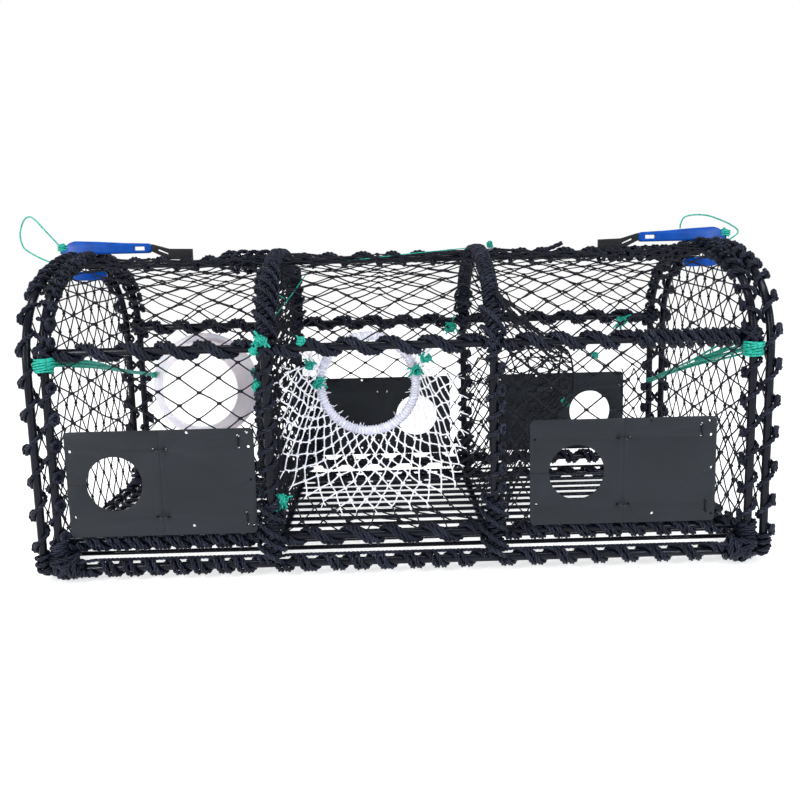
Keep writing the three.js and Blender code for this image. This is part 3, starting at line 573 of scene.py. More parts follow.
rope_over_bar = over_bar(rope_diameter)
thin_over_bar = over_bar(thin_rope_diameter)
hoop_margin = 0.0125


def rail_line(y, z, outward):
    return BarLine([(Vector((-half_length, y, z)), outward), (Vector((half_length, y, z)), outward)])


def rail_ropes(line, pitches):
    """Ropes along a rail, wound in each bay from hoop to hoop."""
    routes = []
    stops = [x + half_length for x in hoops_at.values()]
    for (before, after), pitch in zip(zip(stops, stops[1:]), pitches):
        routes += banded(line, before + hoop_margin, after - hoop_margin, pitch, rail_rope_diameter)
    return routes


def side_way(side, turn):
    return Vector((0, side * math.cos(turn), math.sin(turn)))


mid_turn = math.asin(0.022 / shoulder_radius)
rail_routes = {
    "front_mid_rail": (side_way(-1, mid_turn), (0.058, 0.056, 0.046)),
    "rear_mid_rail": (side_way(1, mid_turn), (0.06, 0.06, 0.06)),
    "front_low_rail": (side_way(-1, 0), (0.029, 0.056, 0.036)),
    "rear_low_rail": (side_way(1, 0), (0.032, 0.054, 0.04)),
}
close_start = half_length + 0.335
close_end = 2 * half_length - hoop_margin
close_pitch = 0.0145
for node, (outward, pitches) in rail_routes.items():
    line = rail_line(*rails_at[node], outward)
    routes = rail_ropes(line, pitches)
    if node == "front_mid_rail":
        # Its right bay is laid anew, with open turns and then close ones.
        routes = rail_ropes(line, pitches[:2])
        open_start = mid_right_x + half_length + hoop_margin
        routes += banded(line, open_start, close_start, pitches[2], rail_rope_diameter)
        reach = over_bar(rail_rope_diameter)
        routes.append(wound(line, close_start, close_end, close_pitch, reach, tilt=0.75, play=0.12))
    rope_piece(f"{node}_rope", routes, rail_rope_diameter)

# Rope on the base rails
# Pairs of turns round the front and rear rails of the base, between the corner knots. They hang
# below the bar in lumps, and hold the nets' edge rope on top of it.
base_knot_x = 0.472
base_stops = (-base_knot_x, mid_left_x, mid_right_x, base_knot_x)
base_pitches = (0.0315, 0.036, 0.043)
base_rope_gap = 0.006
edge_rope_diameter = 0.0054
edge_rope_height = 0.0322
edge_rope_run = 0.022
edge_rope_stand_off = 0.012
for name, side in faces.items():
    line = rail_line(side * half_width, base_height, Vector((0, side, 0)))
    routes = []
    edge_route = []
    for before, after, pitch in zip(base_stops, base_stops[1:], base_pitches):
        start = before + half_length + base_rope_gap
        end = after + half_length - base_rope_gap
        routes += banded(line, start, end, pitch, rope_diameter, tilt=-0.15, play=0.1)
        for x, y in (
            (before, edge_rope_stand_off), (before + edge_rope_run, 0.0),
            (after - edge_rope_run, 0.0), (after, edge_rope_stand_off),
        ):
            edge_route.append(Vector((x, side * (half_width + y), edge_rope_height)))
    rope_piece(f"{name}_base_rope", routes, rope_diameter, f"{name}_base_lashing")
    rope_piece(f"{name}_edge_rope", [edge_route], edge_rope_diameter)

# Rope on the hoops
# Thinner rope binds the nets' edges to the hoops. It is wound closely over the top, knotted in
# half hitches down the legs, and wound in two layers at the feet of the middle hoops.
line_step = 0.003


def arc_places(x, centre_y, centre_z, radius, first, last):
    count = max(2, math.ceil(radius * abs(last - first) / line_step))
    places = []
    for k in range(count + 1):
        turn = first + (last - first) * k / count
        outward = Vector((0, -math.cos(turn), math.sin(turn)))
        places.append((Vector((x, centre_y, centre_z)) + outward * radius, outward))
    return places


def d_line(x, foot):
    """The centre line of a hoop, from its front foot over the top to its rear foot."""
    front = Vector((0, -1, 0))
    rear = Vector((0, 1, 0))
    inner = half_width - shoulder_radius
    places = [(Vector((x, -half_width, foot)), front)]
    places += arc_places(x, -inner, springing_height, shoulder_radius, 0, shoulder_turn)
    top = math.pi - shoulder_turn
    places += arc_places(x, 0, crown_centre, crown_radius, shoulder_turn, top)[1:]
    places += arc_places(x, inner, springing_height, shoulder_radius, top, math.pi)[1:]
    places.append((Vector((x, half_width, foot)), rear))
    return BarLine(places)


hoop_line = d_line(0.0, leg_foot)
hoop_length = hoop_line.length
mid_rail_place = springing_height - leg_foot + shoulder_radius * mid_turn
low_rail_place = low_rail_height - leg_foot
crossing = 0.012
crown_gap = 0.05
crown_rope_diameter = 0.004
crown_rope_reach = 0.052
end_hitch_spacing = 0.04
mid_hitch_spacing = 0.027
top_pitch = 0.0088


hoop_lines = {node: d_line(x, leg_foot) for node, x in hoops_at.items()}
leg_spans = hoop_line.both_ways(low_rail_place + crossing, mid_rail_place - crossing)


def top_spans(gap):
    return hoop_line.both_ways(mid_rail_place + crossing, hoop_length / 2 - gap)


for node, x in hoops_at.items():
    line = hoop_lines[node]
    inwards = quarter_turn * (1 if x < 0 else -1)
    routes = []
    if "end" in node:
        arch_spacing = 0.025 if x < 0 else 0.03
        for span in leg_spans:
            routes.append(hitched(line, *span, end_hitch_spacing, thin_rope_diameter, inwards))
        for span in top_spans(crossing):
            routes.append(hitched(line, *span, arch_spacing, thin_rope_diameter, inwards, -1))
    else:
        for span in leg_spans:
            routes.append(hitched(line, *span, mid_hitch_spacing, thin_rope_diameter, -inwards))
        for span in top_spans(crown_gap):
            routes.append(wound(line, *span, top_pitch, thin_over_bar, tilt=0.6, play=0.16))
        crown = hoop_length / 2
        ends = (crown - crown_rope_reach, crown + crown_rope_reach)
        reach = bar_radius + crown_rope_diameter / 2
        route = wound(line, *ends, 0.006, reach, tilt=0.5, play=0.1)
        rope_piece(f"{node}_crown_rope", [route], crown_rope_diameter)
        more = 0.15 if x < 0 else 0.06
        mid = mid_rail_place + 0.004
        outer = thin_over_bar + 0.0055
        for span in line.both_ways(mid, mid + more):
            routes.append(wound(line, *span, 0.024, outer, hand=-1, tilt=-0.8, play=0.3))
    rope_piece(f"{node}_rope", routes, thin_rope_diameter)

foot_wrap_start = 0.006
foot_wrap_top = 0.085
outer_foot_reach = rope_over_bar + 0.007
for node in ("mid_left_hoop", "mid_right_hoop"):
    line = hoop_lines[node]
    routes = []
    for span in line.both_ways(foot_wrap_start, foot_wrap_top):
        routes.append(wound(line, *span, 0.0095, rope_over_bar, tilt=0.3, play=0.2))
        routes.append(wound(line, *span, 0.021, outer_foot_reach, 1.0, -1, -0.6, 0.3))
    rope_piece(f"{node}_foot_rope", routes, rope_diameter)


crossing_steps = 20
crossing_width = 0.0135
crossing_depth = 0.0165


def crossed(centre, along_rail, along_hoop, outward):
    """Turns of rope that cross over two bars where one lies on the other."""
    routes = []
    for side in (1, -1):
        wide = (along_rail + along_hoop * side).normalized()
        shift = (along_rail - along_hoop * side).normalized()
        route = []
        for step in range(2 * crossing_steps + 1):
            turn = step / crossing_steps
            at = centre + shift * (turn - 1) * thin_rope_diameter * 1.1
            reach = Vector((math.cos(full_turn * turn), math.sin(full_turn * turn)))
            route.append(at + wide * reach.x * crossing_width + outward * reach.y * crossing_depth)
        routes.append(route)
    return routes


routes = []
for line in hoop_lines.values():
    for place in (mid_rail_place, hoop_length - mid_rail_place):
        point, outward, _ = line.at(place)
        along_hoop = outward.cross(lengthways)
        centre = point - outward * rail_inset / 2
        routes += crossed(centre, lengthways, along_hoop, outward)
rope_piece("crossing_ropes", routes, thin_rope_diameter)

# Rope on the ridge
# The ridge rail carries a rope with open turns. Left of the left middle hoop it is bound in a
# thick bundle with a pointed end, and under each hook it is wound closely.
ridge_line = rail_line(0.0, ridge_height, up)
# From and to in x, the pitch, how far it stands off a first layer, and the tilt.
ridge_bindings = (
    (-0.272, -0.205, 0.0098, 0.0, 0.5), (-0.262, -0.206, 0.019, 0.0065, -0.7),
    (-0.178, 0.118, 0.049, 0.0, 0.6), (0.146, 0.34, 0.043, 0.0, 0.6),
    (0.34, 0.486, 0.0155, 0.0, 0.5), (-0.486, -0.46, 0.0105, 0.0, 0.5), (-0.45, -0.28, 0.044, 0.0, 0.6),
)
routes = []
for start, end, pitch, more, tilt in ridge_bindings:
    span = (start + half_length, end + half_length)
    hand = 1 if tilt > 0 else -1
    routes.append(wound(ridge_line, *span, pitch, rope_over_bar + more, math.pi, hand, tilt, 0.2))
rope_ends = (
    ((-0.262, 0.0, 0.463), (-0.28, -0.002, 0.464), (-0.298, -0.001, 0.459)),
    ((-0.258, 0.004, 0.468), (-0.276, 0.003, 0.471), (-0.289, 0.002, 0.464)),
    ((0.236, 0.0, 0.461), (0.256, -0.003, 0.465), (0.275, -0.005, 0.473)),
)
for ends in rope_ends:
    routes.append([Vector(at) for at in ends])
rope_piece("ridge_rope", routes, rope_diameter)

# Corner knots
# At each corner three turns of rope tie the door's bottom bar to the base's end bar, as a hinge.
# The rope goes on round the foot of the hoop and the end of the base rail, and ends in a knot.
door_x = 0.524
half_gap = (door_x - half_length) / 2
knot_start = 0.2115
knot_turns = 3
knot_steps = 24
knot_pitch = 0.0088
foot_knot_length = 0.04
end_wrap_start = 0.004
end_wrap_end = 0.036
# Each turn's lean in x and z, its shift inwards, its rise and its radius.
ball_turns = (
    (0.18, 1.0, 0.0, 0.013, 0.0175), (-0.28, 1.0, 0.002, 0.004, 0.0185), (0.05, 1.0, 0.001, -0.006, 0.0165),
    (1.0, 0.1, 0.018, 0.0, 0.0165), (1.0, -0.3, 0.009, -0.002, 0.0175), (0.75, 0.7, 0.005, 0.0, 0.0195),
    (-0.7, 0.7, 0.007, 0.001, 0.0195), (-0.9, 0.4, 0.0, -0.002, 0.018),
)


def hinge_turns(side, place):
    """Turns round both bottom bars, from outside the corner knot inwards."""
    route = []
    centre_x = side * (half_length + half_gap)
    for step in range(knot_turns * knot_steps + 1):
        turn = full_turn * step / knot_steps
        reach = Vector((math.cos(turn), math.sin(turn))) * rope_over_bar
        x = centre_x + reach.x + math.copysign(half_gap, reach.x) * min(1.0, abs(reach.x) * 300)
        y = place * (knot_start + step / knot_steps * rope_diameter * 1.02)
        route.append(Vector((x, y, base_height + reach.y)))
    return route


def ball_knot(side, place):
    """Loops that lean many ways about a corner, pulled into a knot."""
    centre = Vector((side * (half_length - 0.005), place * (half_width + 0.001), 0.0265))
    loops = []
    for lean_x, lean_z, shift, rise, size in ball_turns:
        normal = Vector((lean_x * side, 0.2 * place, lean_z)).normalized()
        aside = normal.orthogonal().normalized()
        beside = normal.cross(aside)
        at = centre + Vector((-side * shift, 0, rise))
        loop = []
        for step in range(knot_steps + 1):
            turn = full_turn * step / knot_steps
            buckle = normal * 0.0025 * math.sin(2 * turn)
            loop.append(at + swung(aside, beside, turn) * size + buckle)
        loops.append(loop)
    return loops


for side_name, side in sides.items():
    for place_name, place in faces.items():
        foot_line = hoop_lines[f"{side_name}_end_hoop"]
        span = foot_line.both_ways(0.0, foot_knot_length)[place > 0]
        foot = wound(foot_line, *span, knot_pitch, rope_over_bar, tilt=0.4, play=0.15)
        end_line = rail_line(place * half_width, base_height, Vector((0, place, 0)))
        span = end_line.both_ways(end_wrap_start, end_wrap_end)[side > 0]
        end_wrap = wound(end_line, *span, knot_pitch, rope_over_bar, tilt=0.3, play=0.2)
        routes = [hinge_turns(side, place), foot, end_wrap, *ball_knot(side, place)]
        name = f"{side_name}_{place_name}"
        rope_piece(f"{name}_corner_knot", routes, rope_diameter, f"{name}_lashing")

# Cover nets
# Knotted black twine in diamond meshes, stretched from hoop to hoop. One panel a bay lies over
# the top between the mid rails, and narrower ones fill the sides above the escape plates.
twine_diameter = 0.0022
half_row = 0.019
net_twine = patterned(
    "black_net_twine", [(0.35, (0.003, 0.0035, 0.006)), (0.7, (0.012, 0.014, 0.022))],
    fibres=(9.0, 5.0, 1.0), roughness=(0.25, 0.5), bump=(0.4, 0.0004), Specular_IOR_Level=0.15,
)
bar_widths = [1.1, 1.0, 1.0, 1.0, 1.1]


class Net:
    """Knotted netting: bars of twine between knots, each a strand of its own."""

    def __init__(self, diameter, knot_width=2.3):
        self.diameter = diameter
        self.knot_width = knot_width
        self.routes = []
        self.widths = []

    def bar(self, start, end):
        slack = shake() * self.diameter * 0.5
        slack.z -= (end - start).length * 0.02
        route = []
        for step in range(len(bar_widths)):
            share = step / (len(bar_widths) - 1)
            route.append(start.lerp(end, share) + slack * math.sin(math.pi * share))
        self.add(route, bar_widths)

    def add(self, route, widths):
        self.routes.append(route)
        self.widths.append(widths)

    def knot(self, at, way):
        reach = way.normalized() * self.diameter * 1.55
        route = [at - reach, at - reach * 0.5, at + reach * 0.5, at + reach]
        self.add(route, [0.9, self.knot_width, self.knot_width, 0.9])

    def mesh(self, name):
        return tubes(name, self.routes, self.diameter, 1, self.widths)


def net_piece(name, net, *nodes, body="frame"):
    piece(name, net.mesh(name), net_twine, body, "black_net", *nodes)


def net_sheet(net, knot_at, across, rows, loop=False, play=0.0025):
    """Meshes over a sheet: knot_at gives the place of a knot from its shares across and along."""
    knots = {}
    for row in range(rows + 1):
        shift = 0.5 * (row % 2)
        count = across if loop or shift else across + 1
        for column in range(count):
            at = knot_at((column + shift) / across, row / rows)
            on_edge = row in (0, rows) or (not loop and not shift and column in (0, across))
            if not on_edge:
                at += shake(play)
            knots[row, column] = at
    for (row, column), at in knots.items():
        if row == rows:
            continue
        pair = (column, column + 1) if row % 2 else (column - 1, column)
        ends = []
        for next_column in pair:
            key = (row + 1, next_column % across if loop else next_column)
            if key in knots:
                ends.append(knots[key])
                net.bar(at, knots[key])
        if row and len(ends) == 2:
            net.knot(at, ends[1] - ends[0])
    return knots


def cover_knots(from_x, to_x, start, end, sag):
    """Places of knots on the hoops' section, from one distance round it to another."""
    left = from_x + bar_radius
    right = to_x - bar_radius

    def knot_at(across, along):
        point, outward, _ = hoop_line.at(start + (end - start) * along)
        x = left + (right - left) * across
        pull = outward * sag * math.sin(math.pi * across)
        return Vector((x, point.y, point.z)) - pull

    return knot_at


bays = {
    "left": (-half_length, mid_left_x),
    "centre": (mid_left_x, mid_right_x),
    "right": (mid_right_x, half_length),
}
mesh_widths = {"left": 0.062, "centre": 0.06, "right": 0.053}
net_margin = 0.002
top_sag = 0.006
panel_sag = 0.003
panel_rows = 6
panel_overlap = 0.006
plate_top_place = 0.222 - leg_foot


def cover_net(name, bay, start, end, sag, rows, *nodes):
    from_x, to_x = bays[bay]
    across = round((to_x - from_x) / mesh_widths[bay])
    net = Net(twine_diameter)
    net_sheet(net, cover_knots(from_x, to_x, start, end, sag), across, rows)
    net_piece(name, net, *nodes)


for bay in bays:
    start = mid_rail_place + net_margin
    end = hoop_length - start
    rows = 2 * round((end - start) / half_row / 2)
    nodes = (f"{bay}_front_top_net", f"{bay}_rear_top_net")
    cover_net(f"{bay}_top_netting", bay, start, end, top_sag, rows, *nodes)
for panel in ("left_front", "right_front", "centre_rear", "right_rear"):
    bay, place = panel.split("_")
    start = plate_top_place - panel_overlap
    end = mid_rail_place - net_margin
    if place == "rear":
        start, end = hoop_length - start, hoop_length - end
    cover_net(f"{panel}_netting", bay, start, end, panel_sag, panel_rows, f"{panel}_net")

# Rear net of the left bay
# The same netting, flat between the rear rails and the hoops, cut round the hard eye and laced
# to its rim.
eye_x = -0.376
eye_height = 0.216
eye_y = 0.248
eye_throat = 0.094
eye_centre = Vector((eye_x, eye_height))
eye_mesh_width = 0.05
eye_mesh_height = 0.046
eye_net_reach = 0.34
flat_play = 0.0022
trim_steps = 14


def trimmed(start, end, inside):
    """A bar cut off where it leaves an outline, from its end inside."""
    if inside(start) and inside(end):
        return start, end
    kept, lost = (start, end) if inside(start) else (end, start)
    near, far = 0.0, 1.0
    for _ in range(trim_steps):
        middle = (near + far) / 2
        if inside(kept.lerp(lost, middle)):
            near = middle
        else:
            far = middle
    return kept, kept.lerp(lost, near)


def flat_net(net, inside, knot_at, width, height, centre, size):
    """Meshes on a flat sheet, kept inside an outline. Bars that cross it end on it."""
    columns = math.ceil(size / width)
    rows = math.ceil(size / height * 2)
    shaken = {}

    def place(column, row):
        if (column, row) not in shaken:
            play = Vector((chance.uniform(-1, 1), chance.uniform(-1, 1))) * flat_play
            shaken[column, row] = centre + Vector((column * width / 2, row * height / 2)) + play
        return shaken[column, row]

    for row in range(-rows, rows):
        for column in range(-2 * columns, 2 * columns):
            if (row + column) % 2 == 0:
                continue
            start = place(column, row)
            if inside(start):
                net.knot(knot_at(start), knot_at(start + Vector((0.01, 0))) - knot_at(start))
            for side in (-1, 1):
                end = place(column + side, row + 1)
                if inside(start) or inside(end):
                    near, far = trimmed(start, end, inside)
                    if (far - near).length > net.diameter:
                        net.bar(knot_at(near), knot_at(far))


def inside_eye_net(at):
    in_panel = -0.494 < at.x < -0.198 and 0.064 < at.y < 0.334
    return in_panel and (at - eye_centre).length > eye_throat


net = Net(twine_diameter)
flat_net(
    net, inside_eye_net, lambda at: Vector((at.x, half_width, at.y)),
    eye_mesh_width, eye_mesh_height, eye_centre, eye_net_reach,
)
net_piece("left_rear_netting", net, "left_rear_net")

# Hard eye
# A ring of milky, slightly see-through plastic that tapers inwards from a flat rim. It is the
# lobster's way in at the rear of the left bay.
eye_rim = 0.103
eye_mouth = 0.07
eye_depth = 0.062
eye_wall = 0.003
shape = bmesh.new()
profile = [
    (eye_rim, 0.0), (eye_rim, -eye_wall), (eye_throat, -eye_wall),
    (eye_mouth + eye_wall, -eye_depth), (eye_mouth, -eye_depth), (eye_throat - eye_wall, 0.0),
]
verts = [shape.verts.new((eye_x + reach, eye_y + depth, eye_height)) for reach, depth in profile]
for k in range(len(verts)):
    shape.edges.new((verts[k], verts[(k + 1) % len(verts)]))
soften(shape, verts, 0.0009, "VERTICES")
spun_round(shape, (eye_x, eye_y, eye_height), (0, 1, 0), 64)
milky = patterned(
    "milky_plastic", [(0.3, (0.78, 0.77, 0.88)), (0.7, (0.9, 0.89, 0.97))], scale=26.0,
    bump=(0.12, 0.0005), grain=260.0, Roughness=0.4, Subsurface_Weight=0.2, Subsurface_Scale=0.012,
)
piece("hard_eye_ring", finished(shape, "hard_eye"), milky, "frame", "white_plastic", "hard_eye")

# White entrance
# A soft funnel of white twine in the front of the middle bay, open at the top. Its wide edge hangs
# from the bars by black twine, and its narrow end is worked onto a ring bound in white twine.
ring_x = -0.0495
ring_y = -0.13
ring_height = 0.264
ring_radius = 0.074
ring_tube = 0.0058
white_twine_diameter = 0.0022
funnel_edge_y = -0.2295
funnel_edge = [
    (-0.16, 0.301), (-0.176, 0.288), (-0.175, 0.257), (-0.172, 0.237), (-0.174, 0.209),
    (-0.176, 0.163), (-0.163, 0.13), (-0.139, 0.112), (-0.106, 0.102), (-0.079, 0.09),
    (-0.031, 0.093), (0.004, 0.098), (0.034, 0.099), (0.062, 0.119), (0.079, 0.138),
    (0.086, 0.178), (0.083, 0.23), (0.082, 0.285),
]
edge_line = BarLine([(Vector((x, funnel_edge_y, z)), up) for x, z in funnel_edge])
white_meshes = 23
white_rows = 9
white_knot_width = 1.5
ring_reach = math.radians(118)


def on_ring(turn, more=0.0):
    """A place on the ring, by its turn from the lowest point towards the right."""
    reach = ring_radius + more
    return Vector((ring_x + reach * math.sin(turn), ring_y, ring_height - reach * math.cos(turn)))


def funnel_knot(across, along):
    edge = edge_line.point(across)
    end = on_ring(ring_reach * (2 * across - 1), ring_tube * 0.5)
    drawn = along + 0.34 * along * (1 - along)
    at = edge.lerp(end, drawn)
    at.z -= 0.006 * math.sin(math.pi * along) * math.sin(math.pi * across)
    return at


white_twine = patterned(
    "white_net_twine", [(0.3, (0.66, 0.65, 0.74)), (0.6, (0.92, 0.92, 0.97))],
    fibres=(8.0, 5.0, 1.0), bump=(0.5, 0.0004), Roughness=0.6, Specular_IOR_Level=0.3,
)
net = Net(white_twine_diameter, white_knot_width)
funnel_knots = net_sheet(net, funnel_knot, white_meshes, white_rows, play=0.0022)
# Bundles of twine hang the ring from the mid rail, at its two sides.
hanger_count = 9
hanger_steps = 6
for side, from_x, to_x in ((-1, -0.143, -0.1), (1, 0.003, 0.048)):
    for count in range(hanger_count):
        share = count / (hanger_count - 1)
        top = Vector((from_x + (to_x - from_x) * share, -0.236, 0.3275 + chance.uniform(-0.003, 0.003)))
        turn = side * math.radians(128 - 26 * (share if side > 0 else 1 - share))
        end = on_ring(turn, ring_tube * 0.8)
        sway = shake() * 0.006
        shares = [step / hanger_steps for step in range(hanger_steps + 1)]
        route = [top.lerp(end, way) + sway * math.sin(math.pi * way) for way in shares]
        net.add(route, [1.1] * len(route))
# Two loose ends stand out from each knot on the wide edge.
for (row, column), at in funnel_knots.items():
    if row == 0:
        away = Vector((at.x - ring_x, 0, at.z - ring_height - 0.02)).normalized() * 0.008
        for _ in range(2):
            sway = shake() * 0.006
            net.add([at, at + away * 0.5 + sway * 0.3, at + away + sway], [1.3, 0.9, 0.6])
mesh = net.mesh("entrance_funnel")
piece("entrance_netting", mesh, white_twine, "frame", "white_net", "entrance_funnel_net")

bars_line = BarLine([
    (Vector((x, -0.238, z)), up) for x, z in (
        (-0.186, 0.325), (-0.186, 0.062), (0.125, 0.062), (0.125, 0.325),
    )
])
# Where shares of the funnel's edge meet shares of the way round the bars.
bar_shares = ((0.0, 0.0), (0.235, 0.235), (0.3, 0.3), (0.65, 0.68), (0.75, 0.76), (1.0, 1.0))
lace = Net(twine_diameter)


def lacing_knot(across, along):
    edge = edge_line.point(across)
    for (near, near_bar), (far, far_bar) in zip(bar_shares, bar_shares[1:]):
        if across <= far:
            share = near_bar + (far_bar - near_bar) * (across - near) / (far - near)
            break
    return edge.lerp(bars_line.point(share), along)


net_sheet(lace, lacing_knot, white_meshes, 3, play=0.004)
net_piece("entrance_lacing", lace)

ring_steps = 64
ring_sides = 14
shape = bmesh.new()
bmesh.ops.create_circle(
    shape, cap_ends=False, radius=ring_tube, segments=ring_sides,
    matrix=Matrix.Translation((ring_x + ring_radius, ring_y, ring_height)),
)
spun_round(shape, (ring_x, ring_y, ring_height), (0, 1, 0), ring_steps)
piece("entrance_ring_core", finished(shape, "ring"), milky, "frame", "white_plastic", "entrance_ring")

line_steps = 96
ring_places = []
for k in range(line_steps + 1):
    turn = full_turn * k / line_steps
    outward = Vector((math.sin(turn), 0, -math.cos(turn)))
    ring_places.append((on_ring(turn), outward))
ring_line = BarLine(ring_places)
binding_pitch = 0.0046
binding_reach = ring_tube + 0.0006
binding = wound(ring_line, 0.0, ring_line.length, binding_pitch, binding_reach, tilt=0.3, play=0.3)
whisker_count = 56
whiskers = []
for _ in range(whisker_count):
    point, outward, _ = ring_line.at(chance.uniform(0, ring_line.length))
    start = point - outward * ring_tube
    sway = shake() * 0.004
    tip = start - outward * chance.uniform(0.002, 0.009) + sway
    whiskers.append([start, start.lerp(tip, 0.5) + sway * 0.2, tip])
ring_twine = patterned(
    "white_ring_twine", [(0.3, (0.57, 0.56, 0.66)), (0.6, (0.7, 0.69, 0.8))],
    fibres=(8.0, 5.0, 1.0), bump=(0.4, 0.0003), Roughness=0.7, Specular_IOR_Level=0.2,
)
mesh = tubes("ring_binding", [binding], 0.0024)
piece("entrance_ring_binding", mesh, ring_twine, "frame", "white_net")
mesh = tubes("ring_whiskers", whiskers, 0.0011, 0)
piece("entrance_ring_whiskers", mesh, white_twine, "frame", "white_net")

# Inner nets
# Black netting drawn in from a middle hoop to a small mouth. The one at the right is the parlour
# funnel, and the one at the left, gathered close to its hoop, parts the left bay off.
inner_inset = 0.0195
floor_edge = 0.036


def inner_places(x, inset):
    """Round the inside of a hoop and across the floor, starting under the ridge."""
    inner = half_width - shoulder_radius
    top = math.pi - shoulder_turn
    low = half_width - inset
    rear = arc_places(x, 0, crown_centre, crown_radius - inset, math.pi / 2, top)
    rear += arc_places(x, inner, springing_height, shoulder_radius - inset, top, math.pi)[1:]
    rear.append((Vector((x, low, floor_edge)), up))
    rear.append((Vector((x, 0, floor_edge)), up))
    front = [(Vector((x, -point.y, point.z)), outward) for point, outward in reversed(rear)]
    return rear + front[1:]


def drawn_net(x, reach, mouth_height, mouth_half_width, mouth_half_height, drawn):
    line = BarLine(inner_places(x, inner_inset))

    def knot_at(across, along):
        edge = line.point(across)
        angle = full_turn * across
        end = Vector((
            x + reach,
            mouth_half_width * math.sin(angle),
            mouth_height + mouth_half_height * math.cos(angle),
        ))
        way = along + drawn * along * (1 - along)
        at = edge.lerp(end, way)
        at.x = x + reach * along
        return at

    return knot_at


# The hoop, the mouth's reach, height and half sizes, how early it draws in, and the meshes.
inner_nets = {
    "parlour_funnel_net": (mid_right_x, 0.153, 0.25, 0.06, 0.045, 0.35, 28, 10, 0.0023),
    "left_partition_net": (mid_left_x, -0.04, 0.22, 0.065, 0.055, 0.0, 60, 16, 0.003),
}
mouth_steps = 60
for node, (*form, across, rows, twine) in inner_nets.items():
    net = Net(twine)
    knot_at = drawn_net(*form)
    net_sheet(net, knot_at, across, rows, loop=True, play=0.005)
    mouth = [knot_at(k / mouth_steps, 1.0) for k in range(mouth_steps + 1)]
    net.add(mouth, [1.4] * len(mouth))
    net_piece(f"{node}ting", net, node)

# Escape plates
# Four dark grey plastic plates that let small lobsters out. Each is a fixed half laced to the
# net and a flap with a round hole and a slit, hung on two ring ties through holes at the seam.
plate_half = 0.134
plate_height = 0.154
plate_bottom = 0.068
plate_thickness = 0.003
plate_face = 0.2548
plate_corner = 0.007
plate_edge = 0.0004
escape_radius = 0.04
slit_half = 0.0002
tie_inset = 0.028
tie_reach = 0.0085
tie_tube = 0.00125
tie_hole = 0.0019
lace_hole = 0.0021
lock_size = 0.0036


def arc_points(x, z, reach, height, first, last, count):
    turns = [first + (last - first) * k / count for k in range(count + 1)]
    return [(x + reach * math.cos(turn), z + height * math.sin(turn)) for turn in turns]


def hole_points(x, z, radius, count):
    return arc_points(x, z, radius, radius, 0, full_turn, count)[:-1]


def corner_points(x, z, first):
    return arc_points(x, z, plate_corner, plate_corner, first, first + quarter_turn, 4)


def plate_outline(with_hole):
    """Half a plate with the seam at x = 0, running to +x, drawn anticlockwise."""
    points = [(0.0, 0.0)]
    points += corner_points(plate_half - plate_corner, plate_corner, -quarter_turn)
    if with_hole:
        middle = plate_height / 2
        slit = math.asin(slit_half / escape_radius)
        hole = (plate_half / 2, middle, escape_radius, escape_radius)
        points.append((plate_half, middle - slit_half))
        points += arc_points(*hole, -slit, slit - full_turn, 48)
        points.append((plate_half, middle + slit_half))
    points += corner_points(plate_half - plate_corner, plate_height - plate_corner, 0.0)
    points.append((0.0, plate_height))
    return points


def cut_sheet(name, loops, thickness, edge, place, crease):
    """The mesh of a sheet cut to an outline with holes in it, its edges rounded, put in place."""
    routes = [[(u, v, 0.0) for u, v in loop] for loop in loops]
    curve = curve_of(name, routes, "2D", edge, 1)
    curve.fill_mode = "BOTH"
    curve.extrude = thickness / 2 - edge
    curve.offset = -edge
    for spline in curve.splines:
        spline.use_cyclic_u = True
    mesh = meshed(curve)
    shape = bmesh.new()
    shape.from_mesh(mesh)
    bpy.data.meshes.remove(mesh)
    bmesh.ops.remove_doubles(shape, verts=shape.verts, dist=merge_distance)
    bmesh.ops.transform(shape, matrix=place, verts=shape.verts)
    return finished(shape, name, math.radians(crease))


slate = Finish("slate_plate_plastic", Specular_IOR_Level=0.24)
slate_cloud = slate.noise(slate.place("Object", (1.0, 1.0, 1.6)), 12.0, 5.0)
slate_grain = slate.noise(slate.place("Object"), 900.0, 2.0)
slate_scratch = slate.noise(slate.place("Object", (2.0, 1.0, 46.0)), 17.0, 2.0)
scratched = (slate_scratch > 0.69) * (slate_cloud > 0.52)
slate.feed(
    Base_Color=slate.ramp(
        slate_cloud * 0.8 + slate_grain * 0.12 + scratched * 0.16,
        [(0.3, (0.008, 0.01, 0.0135)), (0.75, (0.013, 0.016, 0.022)), (0.95, (0.04, 0.044, 0.053))],
    ),
    Roughness=slate_cloud * 0.2 + 0.36,
    Normal=slate.bump(slate_grain, 0.18, 0.0003),
)
tie_plastic = patterned(
    "black_tie_plastic", [(0.3, (0.004, 0.004, 0.007)), (0.7, (0.011, 0.011, 0.016))], scale=300.0,
    Roughness=0.38, Specular_IOR_Level=0.35,
)

